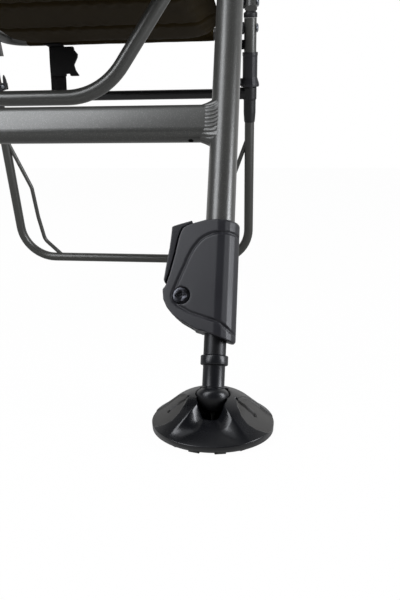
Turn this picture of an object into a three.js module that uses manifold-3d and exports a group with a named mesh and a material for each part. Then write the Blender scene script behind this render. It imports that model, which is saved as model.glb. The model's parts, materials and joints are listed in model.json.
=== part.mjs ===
// Folding carp fishing chair, in millimetres, +Z up, front of the seat toward -Y.
// Left and right are the viewer's, who stands in front of the chair and looks along +Y.
import * as THREE from 'three';
import { mergeVertices } from 'three/addons/utils/BufferGeometryUtils.js';
import Module from 'manifold-3d';

const wasm = await Module();
wasm.setup();

// Stance of the chair: every leg axis starts at the ground and leans in toward the seat
const seatWidth = 430;
const frontLean = THREE.MathUtils.degToRad(25);
const rearLean = THREE.MathUtils.degToRad(13);
const backLean = THREE.MathUtils.degToRad(18);
const wheelbase = 760;
const frontPivotReach = 505;
const rearPivotReach = 443;

// Tubes and rods
const frontTubeRadius = 12.7;
const rearTubeRadius = 11;
const seatTubeRadius = 11;
const backTubeRadius = 11;
const innerLegRadius = 9.5;
const groundBarRadius = 9;
const droppedRailRadius = 9;
const rearCrossbarRadius = 8.5;
const backCrossbarRadius = 8;
const stayRodRadius = 4;

// Fits that every piece shares
const weldGap = 0.3;
const slideGap = 0.4;
const boreGap = 0.8;
const overrun = 5;
const vertexWeld = 0.0001;

// Facets of round forms
const tubeSides = 20;
const slimSides = 12;
const rodSides = 12;
const bendStep = THREE.MathUtils.degToRad(18);

// Each leg frame straddles the seat: the seat's side tube, a hinge plate and a washer, then the leg
const plateThickness = 3;
const frontWasherRoom = 3;
const rearWasherRoom = 5.7;
const halfSeat = seatWidth / 2;
const plateInner = halfSeat + seatTubeRadius + weldGap;
const plateOuter = plateInner + plateThickness;
const frontTrack = 2 * (plateOuter + frontWasherRoom + frontTubeRadius);
const rearTrack = 2 * (plateOuter + rearWasherRoom + rearTubeRadius);
const halfFront = frontTrack / 2;
const halfRear = rearTrack / 2;
const sides = [['left', -1], ['right', 1]];

// Finishes
const paint = (color, roughness, metalness) => new THREE.MeshStandardMaterial({ color, roughness, metalness });
const coatedSteel = paint('#55564f', 0.5, 0.5);
const darkSteel = paint('#3a3b38', 0.5, 0.4);
const clampPlastic = paint('#2a2a2e', 0.55, 0);
const footPlastic = paint('#17181a', 0.3, 0);
const blackNylon = paint('#0f0f10', 0.6, 0);
const seatCloth = paint('#2d2619', 0.9, 0);
const blackWebbing = paint('#0d0c0c', 0.85, 0);
const zincSteel = paint('#6f7072', 0.4, 0.8);

// A closed three.js geometry as a solid for cutting and joining
function solidOf(form) {
  if (!form.isBufferGeometry) return form;
  form.deleteAttribute('normal');
  form.deleteAttribute('uv');
  const merged = mergeVertices(form, vertexWeld);
  const points = merged.attributes.position.array;
  const corner = (index) => new THREE.Vector3().fromArray(points, 3 * index);
  const triangles = [];
  let volume = 0;
  for (let i = 0; i < merged.index.count; i += 3) {
    const [a, b, c] = [0, 1, 2].map((k) => merged.index.getX(i + k));
    if (a !== b && b !== c && c !== a) {
      triangles.push([a, b, c]);
      volume += corner(a).dot(corner(b).cross(corner(c)));
    }
  }
  const outward = volume > 0 ? triangles : triangles.map(([a, b, c]) => [a, c, b]);
  return new wasm.Manifold(new wasm.Mesh({
    numProp: 3,
    vertProperties: new Float32Array(points),
    triVerts: new Uint32Array(outward.flat()),
  }));
}

const join = (...forms) => forms.map(solidOf).reduce((whole, form) => whole.add(form));
const cut = (base, ...tools) => tools.map(solidOf).reduce((left, tool) => left.subtract(tool), solidOf(base));

// Adds a form to a group as one named mesh
function place(parent, name, form, material) {
  const mesh = solidOf(form).getMesh();
  const geometry = new THREE.BufferGeometry();
  geometry.setAttribute('position', new THREE.BufferAttribute(new Float32Array(mesh.vertProperties), 3));
  geometry.setIndex(new THREE.BufferAttribute(new Uint32Array(mesh.triVerts), 1));
  geometry.computeVertexNormals();
  const piece = new THREE.Mesh(geometry, material);
  piece.name = name;
  parent.add(piece);
}

// A group that is set in another one, moved and turned
function turnedGroup(parent, position, rotation = [0, 0, 0]) {
  const group = new THREE.Group();
  group.position.set(...position);
  group.rotation.set(...rotation);
  parent.add(group);
  return group;
}

// A path through given points, one step of an extrusion for each stretch
class BentPath extends THREE.Curve {
  constructor(points) {
    super();
    this.points = points;
  }

  getPoint(t, target = new THREE.Vector3()) {
    const last = this.points.length - 1;
    const along = THREE.MathUtils.clamp(t, 0, 1) * last;
    const index = Math.min(Math.floor(along), last - 1);
    return target.lerpVectors(this.points[index], this.points[index + 1], along - index);
  }

  getUtoTmapping(u) {
    return u;
  }
}

// Turns a chain of corners into points, each inner corner rounded to its bend radius
function bentRoute(corners, ...radii) {
  const at = corners.map((corner) => new THREE.Vector3(...corner));
  const route = [at[0]];
  for (let i = 1; i < at.length - 1; i += 1) {
    const radius = radii[Math.min(i, radii.length) - 1];
    const back = at[i - 1].clone().sub(at[i]).normalize();
    const ahead = at[i + 1].clone().sub(at[i]).normalize();
    const turn = Math.PI - back.angleTo(ahead);
    const steps = Math.ceil(turn / bendStep);
    const middle = back.clone().add(ahead).normalize();
    const centre = at[i].clone().addScaledVector(middle, radius / Math.cos(turn / 2));
    const start = at[i].clone().addScaledVector(back, radius * Math.tan(turn / 2)).sub(centre);
    const axis = back.clone().cross(ahead).normalize().negate();
    for (let k = 0; k <= steps; k += 1) {
      route.push(start.clone().applyAxisAngle(axis, (turn * k) / steps).add(centre));
    }
  }
  route.push(at[at.length - 1]);
  return route;
}

// A round bar along a route
function bentBar(route, radius) {
  return new THREE.ExtrudeGeometry(new THREE.Shape().absarc(0, 0, radius, 0, 2 * Math.PI), {
    steps: route.length - 1,
    curveSegments: slimSides / 2,
    bevelEnabled: false,
    extrudePath: new BentPath(route),
  });
}

const lathed = (outline, count) => new THREE.LatheGeometry(
  outline.map(([radius, along]) => new THREE.Vector2(radius, along)),
  count,
);

// Turned forms about Z, X and Y, from an outline of [radius, place along the axis] pairs
const turnedZ = (outline, count = tubeSides) => lathed(outline, count).rotateX(Math.PI / 2);
const turnedX = (outline, count = rodSides) => lathed(outline, count).rotateZ(-Math.PI / 2);
const turnedY = (outline, count = rodSides) => lathed(outline, count);

const rodOutline = (radius, from, to) => [[0, from], [radius, from], [radius, to], [0, to]];
const ringOutline = (inner, outer, from, to) => [[inner, from], [outer, from], [outer, to], [inner, to], [inner, from]];

function block([x0, x1], [y0, y1], [z0, z1]) {
  const geometry = new THREE.BoxGeometry(Math.abs(x1 - x0), y1 - y0, z1 - z0);
  return geometry.translate((x0 + x1) / 2, (y0 + y1) / 2, (z0 + z1) / 2);
}

const outlineShape = (points) => new THREE.Shape(points.map(([a, b]) => new THREE.Vector2(a, b)));

// A plate with its outline in X and Z, from a near face to a far face along Y
function facePlate(points, near, far) {
  const geometry = new THREE.ExtrudeGeometry(outlineShape(points), { depth: far - near, bevelEnabled: false });
  return geometry.rotateX(Math.PI / 2).translate(0, far, 0);
}

// Turns a form that was extruded along Z so that it runs along X, its outline then in Y and Z
const layAlongX = (geometry) => geometry.applyMatrix4(new THREE.Matrix4().makeBasis(
  new THREE.Vector3(0, 1, 0),
  new THREE.Vector3(0, 0, 1),
  new THREE.Vector3(1, 0, 0),
));

// A plate with its outline in Y and Z, from one place along X to another
function sidePlate(points, x0, x1) {
  const depth = Math.abs(x1 - x0);
  const geometry = new THREE.ExtrudeGeometry(outlineShape(points), { depth, bevelEnabled: false });
  return layAlongX(geometry).translate(Math.min(x0, x1), 0, 0);
}

const shared = (shares, wide, high = wide) => shares.map(([a, b]) => [a * wide, b * high]);

const chair = new THREE.Group();

// Where the leg frames hang on the seat, as [Y, Z]
const frontPivot = [frontPivotReach * Math.sin(frontLean), frontPivotReach * Math.cos(frontLean)];
const rearPivot = [
  wheelbase - rearPivotReach * Math.sin(rearLean),
  groundBarRadius + rearPivotReach * Math.cos(rearLean),
];
const pivotSpan = Math.hypot(rearPivot[0] - frontPivot[0], rearPivot[1] - frontPivot[1]);
const seatSlope = Math.asin((frontPivot[1] - rearPivot[1]) / pivotSpan);
const seat = turnedGroup(chair, [0, ...frontPivot], [-seatSlope, 0, 0]);

// Rivets that the frames turn on
const rivetRadius = 4;
const rivetHeadRadius = 7.5;
const rivetHeadHeight = 3;
const rivetDomeShare = 0.6;

// The seat's tube ring and its dropped rail
const seatFrontReach = 63;
const seatRearReach = 35;
const seatFrontBend = 60;
const seatRearBend = 34;
const seatFront = -seatFrontReach;
const seatRear = pivotSpan + seatRearReach;

function seatRing() {
  const route = bentRoute([
    [0, seatFront, 0],
    [halfSeat, seatFront, 0],
    [halfSeat, seatRear, 0],
    [-halfSeat, seatRear, 0],
    [-halfSeat, seatFront, 0],
    [0, seatFront, 0],
  ], seatFrontBend, seatRearBend, seatRearBend, seatFrontBend);
  return new THREE.TubeGeometry(new BentPath(route), route.length - 1, seatTubeRadius, slimSides, true);
}

const throughHole = (half, radius) => turnedX(
  rodOutline(rivetRadius + weldGap, -half - radius - overrun, half + radius + overrun),
);

place(seat, 'seat_frame', cut(
  seatRing(),
  throughHole(halfSeat, seatTubeRadius),
  throughHole(halfSeat, seatTubeRadius).translate(0, pivotSpan, 0),
), coatedSteel);

const railSetback = 76.6;
const railDrop = 163.8;
const railFlatInset = 132.3;
const railFlat = seatWidth - 2 * railFlatInset;
const railBend = 85;
const railKneeInset = 30;
const railKneeWidth = seatWidth - 2 * railKneeInset;
const railKneeDrop = 17.7;
const railKneeBend = 40;
const railEndDrop = 3;

// The rail drops below the sitter's legs, rises at each side and is welded to the seat's side tubes
function railRoute() {
  const flat = railFlat / 2;
  const knee = railKneeWidth / 2;
  return bentRoute([
    [-halfSeat, railSetback, -railEndDrop],
    [-knee, railSetback, -railKneeDrop],
    [-flat, railSetback, -railDrop],
    [flat, railSetback, -railDrop],
    [knee, railSetback, -railKneeDrop],
    [halfSeat, railSetback, -railEndDrop],
  ], railKneeBend, railBend, railBend, railKneeBend);
}

const seatSideSaddle = (side) => turnedY(
  rodOutline(seatTubeRadius + weldGap, 0, 2 * railSetback),
  tubeSides,
).translate(side * halfSeat, 0, 0);

place(seat, 'dropped_front_rail', cut(
  bentBar(railRoute(), droppedRailRadius),
  seatSideSaddle(-1),
  seatSideSaddle(1),
), coatedSteel);

// A sewn pad: crowned on both faces, drawn in along its sides, with sewn channels across it
const padGap = 0.5;
const padColumns = 14;
const padRows = 20;
const padCornerInset = 17;
const padDrawIn = 2;
const channelDepthShare = 0.22;
const channelWidthShare = 0.05;
const crownPower = 4;
const cornerPower = 8;
const crownShare = 0.5;

function pad({ width, depth, rise, sag, cornerInset, channelShares, bow = () => 0 }) {
  const crown = (u, v) => {
    const fall = (1 - Math.abs(u) ** crownPower) * (1 - Math.abs(v) ** crownPower);
    const sewn = channelShares.reduce((sum, share) => sum + Math.exp(-(((v - share) / channelWidthShare) ** 2)), 0);
    return Math.max(0, fall) ** crownShare * (1 - channelDepthShare * Math.min(sewn, 1));
  };
  const spot = (u, v, height) => {
    const halfWide = width / 2 - cornerInset * v ** cornerPower - padDrawIn * (1 - v * v);
    const halfDeep = depth / 2 - cornerInset * u ** cornerPower - padDrawIn * (1 - u * u);
    return [u * halfWide, v * halfDeep, height * crown(u, v) + bow(v * halfDeep)];
  };
  const positions = [];
  const index = [];
  [rise, -sag].forEach((height, layer) => {
    const first = positions.length / 3;
    for (let j = 0; j <= padRows; j += 1) {
      for (let i = 0; i <= padColumns; i += 1) {
        positions.push(...spot(-1 + (2 * i) / padColumns, -1 + (2 * j) / padRows, height));
      }
    }
    for (let j = 0; j < padRows; j += 1) {
      for (let i = 0; i < padColumns; i += 1) {
        const a = first + j * (padColumns + 1) + i;
        const d = a + padColumns + 1;
        if (layer) index.push(a, d, a + 1, a + 1, d, d + 1);
        else index.push(a, a + 1, d, a + 1, d + 1, d);
      }
    }
  });
  const geometry = new THREE.BufferGeometry();
  geometry.setAttribute('position', new THREE.BufferAttribute(new Float32Array(positions), 3));
  geometry.setIndex(index);
  return geometry;
}

const seatPadRise = 24;
const seatPadSag = 19;
const seatChannelShares = [-0.5, 0, 0.5];

place(seat, 'seat_pad', cut(
  pad({
    width: seatWidth - 2 * (seatTubeRadius + padGap),
    depth: seatRear - seatFront - 2 * (seatTubeRadius + padGap),
    rise: seatPadRise,
    sag: seatPadSag,
    cornerInset: padCornerInset,
    channelShares: seatChannelShares,
  }).translate(0, (seatFront + seatRear) / 2, 0),
  bentBar(railRoute(), droppedRailRadius + padGap),
), seatCloth);

// Hinge plates on the outside of the seat's side tubes, each with tabs that stop what it carries
const tabReach = 22;
const tabHeight = 16;
const tabGap = 0.5;
const washerRadius = 10;

const rivetHole = (side) => turnedX(rodOutline(rivetRadius + weldGap, 0, side * (plateOuter + overrun)));

function washer(side, halfTrack, tubeRadius) {
  const from = side * (plateOuter + weldGap);
  const to = side * (halfTrack - tubeRadius - weldGap);
  return turnedX(ringOutline(rivetRadius + weldGap, washerRadius, from, to), slimSides);
}

// A rivet from inside a part at one place along X to its domed head outside another
function rivet(side, inner, outer) {
  const head = outer + weldGap;
  return turnedX([
    [0, side * inner],
    [rivetRadius, side * inner],
    [rivetRadius, side * head],
    [rivetHeadRadius, side * head],
    [rivetHeadRadius, side * (head + rivetHeadHeight * (1 - rivetDomeShare))],
    [rivetHeadRadius * rivetDomeShare, side * (head + rivetHeadHeight)],
    [0, side * (head + rivetHeadHeight)],
  ]);
}

// Outline of the front plate, in shares of its reach below the pivot
const frontPlateReach = 52;
const frontPlateShares = [
  [-0.32, -1], [0.16, -1], [0.29, -0.1], [0.26, 0.14], [0.12, 0.27], [-0.12, 0.27], [-0.26, 0.14], [-0.29, 0],
];

function frontPlate(side) {
  const far = -(frontTubeRadius + tabGap);
  return cut(
    join(
      sidePlate(shared(frontPlateShares, frontPlateReach), side * plateInner, side * plateOuter),
      block(
        [side * plateInner, side * (plateOuter + tabReach)],
        [far - plateThickness, far],
        [-frontPlateReach, tabHeight - frontPlateReach],
      ),
    ),
    rivetHole(side),
  );
}

// Outline of the rear plate, in shares of its reach above the leg's pivot
const backPivotSetback = 12;
const backPivotRise = 44;
const rearPlateReach = 74;
const rearPlateShares = [
  [-0.19, 0.05], [-0.135, -0.16], [0.03, -0.48], [0.37, -0.42], [0.27, -0.1], [0.38, 0.41],
  [0.6, 0.83], [0.54, 1.02], [0.3, 1], [0.03, 0.7], [-0.135, 0.27],
];
const legTabDrop = 35;
const backTabRise = 20;

function tabBehind(side, tubeRadius, bottom, turn) {
  const near = tubeRadius + tabGap;
  return block(
    [side * plateInner, side * (plateOuter + tabReach)],
    [near, near + plateThickness],
    [bottom, bottom + tabHeight],
  ).rotateX(turn);
}

function rearPlate(side) {
  return cut(
    join(
      sidePlate(shared(rearPlateShares, rearPlateReach), side * plateInner, side * plateOuter),
      tabBehind(side, rearTubeRadius, -legTabDrop, rearLean),
      tabBehind(side, backTubeRadius, backTabRise, -backLean).translate(0, backPivotSetback, backPivotRise),
    ),
    rivetHole(side),
    rivetHole(side).translate(0, backPivotSetback, backPivotRise),
  );
}

const frontHinge = turnedGroup(seat, [0, 0, 0], [seatSlope - frontLean, 0, 0]);
const rearHinge = turnedGroup(seat, [0, pivotSpan, 0], [seatSlope, 0, 0]);
const backHinge = turnedGroup(rearHinge, [0, backPivotSetback, backPivotRise]);
const rivetStart = halfSeat - seatTubeRadius + weldGap;

for (const [name, side] of sides) {
  place(frontHinge, `front_hinge_plate_${name}`, frontPlate(side), darkSteel);
  place(frontHinge, `front_pivot_washer_${name}`, washer(side, halfFront, frontTubeRadius), blackNylon);
  place(frontHinge, `front_pivot_rivet_${name}`, rivet(side, rivetStart, halfFront + frontTubeRadius), zincSteel);
  place(rearHinge, `rear_hinge_plate_${name}`, rearPlate(side), darkSteel);
  place(rearHinge, `rear_pivot_washer_${name}`, washer(side, halfRear, rearTubeRadius), blackNylon);
  place(rearHinge, `rear_pivot_rivet_${name}`, rivet(side, rivetStart, halfRear + rearTubeRadius), zincSteel);
  place(backHinge, `back_pivot_washer_${name}`, washer(side, halfRear, backTubeRadius), blackNylon);
  place(backHinge, `back_pivot_rivet_${name}`, rivet(side, plateInner - weldGap, halfRear + backTubeRadius), zincSteel);
}

// Plastic cap that closes a tube's end, on its outer face
const capOverlap = 0.9;
const frontCapHeight = 6;
const rearCapHeight = 11;
const capCrownShare = 0.7;

const tubeCap = (tubeRadius, end, height) => turnedZ([
  [0, end + weldGap],
  [tubeRadius + capOverlap, end + weldGap],
  [tubeRadius + capOverlap, end + height * capCrownShare],
  [tubeRadius * capCrownShare, end + height],
  [0, end + height],
]);

// The front legs' lever clamp: a sleeve round the leg that tapers into two cheeks, with a lever between them
const clampFoot = 74;
const clampHeight = 105;
const clampSleeveRadius = 17.3;
const clampChamfer = 1.6;
const clampStep = 46;
const clampTubeSeat = 4.3;
const finReach = 45.8;
const finThickness = 24;
const slotWidth = 12.4;
const slotInner = 19;
const slotFoot = 12;
const leverThickness = 11.6;
const leverPivotReach = 29;
const leverPivotHeight = 38.3;
const leverCamRadius = 9.3;
const cheekShares = [
  [0, 0.998], [0.24, 0.994], [0.46, 0.969], [0.59, 0.951], [0.672, 0.93], [0.712, 0.895],
  [0.745, 0.845], [0.801, 0.702], [0.876, 0.553], [0.94, 0.452], [1, 0.413], [0.974, 0.332],
  [0.9, 0.269], [0.793, 0.214], [0.659, 0.169], [0.397, 0.109], [0.177, 0.065], [0, 0.045],
];
const leverArmShares = [
  [0.862, 0.4], [0.974, 0.49], [0.93, 0.635], [0.895, 0.76], [0.878, 0.869], [0.869, 0.936],
  [0.828, 0.945], [0.524, 0.987], [0.524, 0.943], [0.568, 0.8], [0.546, 0.524], [0.524, 0.43],
];
const leverWebShares = [
  [0.507, 0.998], [0.834, 0.953], [0.889, 0.941], [0.895, 0.869], [0.913, 0.76], [0.952, 0.635],
  [0.987, 0.494], [0.961, 0.467], [0.893, 0.555], [0.819, 0.703], [0.762, 0.847], [0.727, 0.899],
  [0.683, 0.936], [0.594, 0.958], [0.507, 0.974],
];
const bottomCutShares = [[-1.2, 0.085], [-0.22, 0.085], [0.4, -0.01], [0.4, -0.2], [-1.2, -0.2]];

// The lever's screw, sunk flush in both cheeks
const screwHeadRadius = 7.3;
const screwTailRadius = 5.5;
const screwShankRadius = 2.5;
const screwHeadHeight = 1.8;
const screwRecess = 1.1;
const crossSlotWidth = 1.4;
const crossSlotLength = 8;
const crossSlotDepth = 1;
const cheekTaper = (clampSleeveRadius - finThickness / 2) / finReach;
const cheekFace = clampSleeveRadius - cheekTaper * leverPivotReach;
const headFace = cheekFace - screwRecess;

const inboard = (shares) => shares.map(([a, b]) => [-a * finReach, b * clampHeight]);
const atLeverPivot = (form) => form.translate(-leverPivotReach, 0, leverPivotHeight);

function clampHousing(tubeRadius, innerRadius) {
  const shell = turnedZ([
    [innerRadius + slideGap, 0],
    [clampSleeveRadius - clampChamfer, 0],
    [clampSleeveRadius, clampChamfer],
    [clampSleeveRadius, clampHeight - clampChamfer],
    [clampSleeveRadius - clampChamfer, clampHeight],
    [tubeRadius + weldGap, clampHeight],
    [tubeRadius + weldGap, clampStep],
    [innerRadius + slideGap, clampStep],
    [innerRadius + slideGap, 0],
  ]);
  const wedge = new THREE.Shape().absarc(0, 0, clampSleeveRadius, -Math.PI / 2, Math.PI / 2);
  wedge.lineTo(-finReach, finThickness / 2);
  wedge.lineTo(-finReach, -finThickness / 2);
  const fin = solidOf(facePlate(inboard(cheekShares), -clampSleeveRadius, clampSleeveRadius)).intersect(solidOf(
    new THREE.ExtrudeGeometry(wedge, { depth: clampHeight, bevelEnabled: false, curveSegments: slimSides }),
  ));
  const bore = join(
    turnedZ(rodOutline(tubeRadius + weldGap, clampStep, clampHeight + overrun)),
    turnedZ(rodOutline(innerRadius + slideGap, -overrun, clampStep + overrun)),
  );
  const slot = block(
    [-finReach - overrun, -slotInner],
    [-slotWidth / 2, slotWidth / 2],
    [slotFoot, clampHeight + overrun],
  );
  const screwHole = atLeverPivot(turnedY([
    [0, -cheekFace - overrun],
    [screwHeadRadius + weldGap, -cheekFace - overrun],
    [screwHeadRadius + weldGap, screwHeadHeight + weldGap - headFace],
    [screwShankRadius + weldGap, screwHeadHeight + weldGap - headFace],
    [screwShankRadius + weldGap, headFace - screwHeadHeight - weldGap],
    [screwTailRadius + weldGap, headFace - screwHeadHeight - weldGap],
    [screwTailRadius + weldGap, cheekFace + overrun],
    [0, cheekFace + overrun],
  ], slimSides));
  const slant = facePlate(shared(bottomCutShares, finReach, clampHeight), -2 * finReach, 2 * finReach);
  return cut(join(shell, cut(fin, bore)), slot, screwHole, slant);
}

function clampLever() {
  const half = leverThickness / 2;
  const cam = atLeverPivot(turnedY(rodOutline(leverCamRadius, -half, half), slimSides));
  const arm = facePlate(inboard(leverArmShares), -half, half);
  const web = facePlate(inboard(leverWebShares), -finThickness / 2, finThickness / 2);
  const hole = atLeverPivot(turnedY(rodOutline(screwShankRadius + weldGap, -finThickness, finThickness)));
  return cut(join(cam, arm, web), hole);
}

function leverScrew() {
  const shank = screwHeadHeight - headFace;
  const body = atLeverPivot(turnedY([
    [0, -headFace],
    [screwHeadRadius, -headFace],
    [screwHeadRadius, shank],
    [screwShankRadius, shank],
    [screwShankRadius, -shank],
    [screwTailRadius, -shank],
    [screwTailRadius, headFace],
    [0, headFace],
  ], slimSides));
  const slot = (wide, high) => atLeverPivot(block(
    [-wide / 2, wide / 2],
    [-headFace - overrun, crossSlotDepth - headFace],
    [-high / 2, high / 2],
  ));
  return cut(body, slot(crossSlotLength, crossSlotWidth), slot(crossSlotWidth, crossSlotLength));
}

// Front legs, measured along the leg from the ground
const frontTubePast = 25;
const frontTubeTop = frontPivotReach + frontTubePast;
const frontBoreTop = 330;
const innerLegTop = 310;
const stemTop = 62;
const stemRadius = 9.3;
const stemCollarRadius = 11.6;
const stemCollarHeight = 6;
const stemCollarChamfer = 0.8;
const ballRadius = 11.75;
const ballReach = 31;
const ballArcSteps = 7;
const rivetDimpleHeight = 79;
const rivetDimpleRadius = 2.6;
const rivetDimpleDepth = 0.8;

function frontTube() {
  const foot = clampFoot + clampStep + clampTubeSeat;
  const bore = innerLegRadius + boreGap;
  return cut(
    turnedZ([
      [0, frontBoreTop],
      [bore, frontBoreTop],
      [bore, foot],
      [frontTubeRadius, foot],
      [frontTubeRadius, frontTubeTop],
      [0, frontTubeTop],
    ]),
    throughHole(0, frontTubeRadius).translate(0, 0, frontPivotReach),
  );
}

const innerLeg = () => cut(
  turnedZ(rodOutline(innerLegRadius, stemTop + weldGap, innerLegTop)),
  turnedY(rodOutline(rivetDimpleRadius, -innerLegRadius - overrun, rivetDimpleDepth - innerLegRadius))
    .translate(0, 0, rivetDimpleHeight),
);

// The plastic stem that ends in the foot's ball
function footStem() {
  const neck = Math.acos(stemRadius / ballRadius);
  const ball = [];
  for (let k = 0; k <= ballArcSteps; k += 1) {
    const angle = -Math.PI / 2 + ((neck + Math.PI / 2) * k) / ballArcSteps;
    ball.push([k ? ballRadius * Math.cos(angle) : 0, ballReach + ballRadius * Math.sin(angle)]);
  }
  const collar = stemTop - stemCollarHeight;
  return turnedZ([
    ...ball,
    [stemRadius, collar],
    [stemCollarRadius, collar + stemCollarChamfer],
    [stemCollarRadius, stemTop - stemCollarChamfer],
    [stemCollarRadius - stemCollarChamfer, stemTop],
    [0, stemTop],
  ]);
}

// The mud foot: a low dome with a socket for the ball and a scoop at the front
const footRadius = 49.5;
const domeHeight = 36;
const footSides = 30;
const domeShares = [
  [0, 0], [0.89, 0], [0.9, 0.055], [0.98, 0.055], [1, 0.11], [1, 0.21], [0.95, 0.32],
  [0.7, 0.65], [0.45, 0.9], [0.3, 0.99], [0, 1],
];
const linerWall = 1.25;
const linerTop = THREE.MathUtils.degToRad(58);
const linerFoot = THREE.MathUtils.degToRad(150);
const linerSteps = 4;
const socketRadius = ballRadius + slideGap + linerWall + slideGap;
const neckGap = 0.6;
const sideRockGap = 2.7;
const neckBack = THREE.MathUtils.degToRad(36);
const neckForward = THREE.MathUtils.degToRad(42);
const scoopShares = [
  [0.26, 0.04], [0.32, -0.2], [0.48, -0.44], [0.73, -0.69], [0.86, -1.2],
  [-0.86, -1.2], [-0.73, -0.69], [-0.48, -0.44], [-0.32, -0.2], [-0.26, 0.04],
];
const scoopFloor = 14;
const scoopSlope = THREE.MathUtils.degToRad(9);
const dimpleReach = 33;
const dimpleSize = [3.6, 9.5, 3];
const dimpleTurn = THREE.MathUtils.degToRad(32);
const dimpleSides = 8;
const dimpleHeightShare = 0.72;

const ballPlace = [ballReach * Math.sin(frontLean), ballReach * Math.cos(frontLean)];
const onBall = (form) => form.translate(0, 0, ballPlace[1]);

// The room that the stem needs as it tilts in the foot
function neckSweep(halfWidth) {
  const reach = footRadius + domeHeight;
  const half = stemRadius + neckGap;
  const edge = (angle, way) => {
    const foot = [way * half * Math.cos(angle), -half * Math.sin(angle)];
    return [foot, [foot[0] + way * reach * Math.sin(angle), foot[1] + reach * Math.cos(angle)]];
  };
  const [backFoot, backTop] = edge(neckBack, 1);
  const [frontFoot, frontTop] = edge(neckForward, -1);
  return onBall(sidePlate([backFoot, backTop, frontTop, frontFoot], -halfWidth, halfWidth));
}

function footLiner() {
  const inner = ballRadius + slideGap;
  const arc = (radius, from, to) => Array.from({ length: linerSteps + 1 }, (_, k) => {
    const angle = from + ((to - from) * k) / linerSteps;
    return [radius * Math.sin(angle), radius * Math.cos(angle)];
  });
  const outline = [...arc(inner + linerWall, linerFoot, linerTop), ...arc(inner, linerTop, linerFoot)];
  return cut(onBall(turnedZ([...outline, outline[0]])), neckSweep(stemRadius + neckGap));
}

function mudFoot() {
  const scoop = new THREE.ExtrudeGeometry(outlineShape(shared(scoopShares, footRadius)), {
    depth: 2 * domeHeight,
    bevelEnabled: false,
  }).rotateX(scoopSlope).translate(0, 0, scoopFloor);
  const dimple = (side) => new THREE.SphereGeometry(1, dimpleSides, dimpleSides)
    .scale(...dimpleSize)
    .rotateZ(side * dimpleTurn)
    .translate(side * dimpleReach, 0, domeHeight * dimpleHeightShare);
  return cut(
    turnedZ(shared(domeShares, footRadius, domeHeight), footSides),
    onBall(new THREE.SphereGeometry(socketRadius, tubeSides, slimSides)),
    neckSweep(stemRadius + sideRockGap),
    scoop,
    dimple(-1),
    dimple(1),
  );
}

for (const [name, side] of sides) {
  const leg = turnedGroup(chair, [side * halfFront, 0, 0], [-frontLean, 0, 0]);
  const clamp = turnedGroup(leg, [0, 0, clampFoot], [0, 0, side < 0 ? Math.PI : 0]);
  const foot = turnedGroup(chair, [side * halfFront, ballPlace[0], 0]);
  place(leg, `front_leg_${name}`, frontTube(), coatedSteel);
  place(leg, `front_leg_cap_${name}`, tubeCap(frontTubeRadius, frontTubeTop, frontCapHeight), clampPlastic);
  place(clamp, `front_clamp_housing_${name}`, clampHousing(frontTubeRadius, innerLegRadius), clampPlastic);
  place(clamp, `front_clamp_lever_${name}`, clampLever(), clampPlastic);
  place(clamp, `front_clamp_screw_${name}`, leverScrew(), darkSteel);
  place(leg, `front_inner_leg_${name}`, innerLeg(), darkSteel);
  place(leg, `foot_stem_${name}`, footStem(), clampPlastic);
  place(foot, `foot_liner_${name}`, footLiner(), blackNylon);
  place(foot, `mud_foot_${name}`, mudFoot(), footPlastic);
}

// The flat oval bar between the front legs, with its ends fitted round them and a drain hole
const crossbarReach = 275.3;
const crossbarHeight = 35;
const crossbarDepth = 20;
const crossbarCurve = 7;
const drainRadius = 2.5;
const drainDepth = 4;
const drainFromLeg = 32;
const drainTurn = THREE.MathUtils.degToRad(62);

function frontCrossbar() {
  const half = crossbarDepth / 2;
  const flat = (crossbarHeight - crossbarDepth) / 2;
  const section = new THREE.Shape().absarc(0, flat, half, 0, Math.PI).absarc(0, -flat, half, Math.PI, 2 * Math.PI);
  const bar = new THREE.ExtrudeGeometry(section, {
    depth: frontTrack,
    bevelEnabled: false,
    curveSegments: crossbarCurve,
  });
  const saddle = (side) => turnedZ(
    rodOutline(frontTubeRadius + weldGap, -crossbarHeight, crossbarHeight),
  ).translate(side * halfFront, 0, 0);
  const drain = turnedY(rodOutline(drainRadius, -half - overrun, drainDepth - half))
    .rotateX(drainTurn)
    .translate(halfFront - drainFromLeg, 0, -flat);
  return cut(layAlongX(bar).translate(-halfFront, 0, 0), saddle(-1), saddle(1), drain);
}

const frontFrame = turnedGroup(chair, [0, 0, 0], [-frontLean, 0, 0]);
place(turnedGroup(frontFrame, [0, 0, crossbarReach]), 'front_crossbar', frontCrossbar(), coatedSteel);

// The rear legs: two outer tubes, and one tube bent in a U that slides in them and lies on the ground
const rearFrame = turnedGroup(chair, [0, wheelbase, groundBarRadius], [rearLean, 0, 0]);
const rearTubePast = 16;
const rearBoreShort = 7;
const groundArmShort = 22;
const rearTubeTop = rearPivotReach + rearTubePast;
const rearBoreTop = rearPivotReach - rearBoreShort;
const groundArmTop = rearPivotReach - groundArmShort;
const groundBarBend = 68;
const rearClampDrop = 96.7;
const rearClampFoot = rearPivotReach - rearClampDrop;

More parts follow.
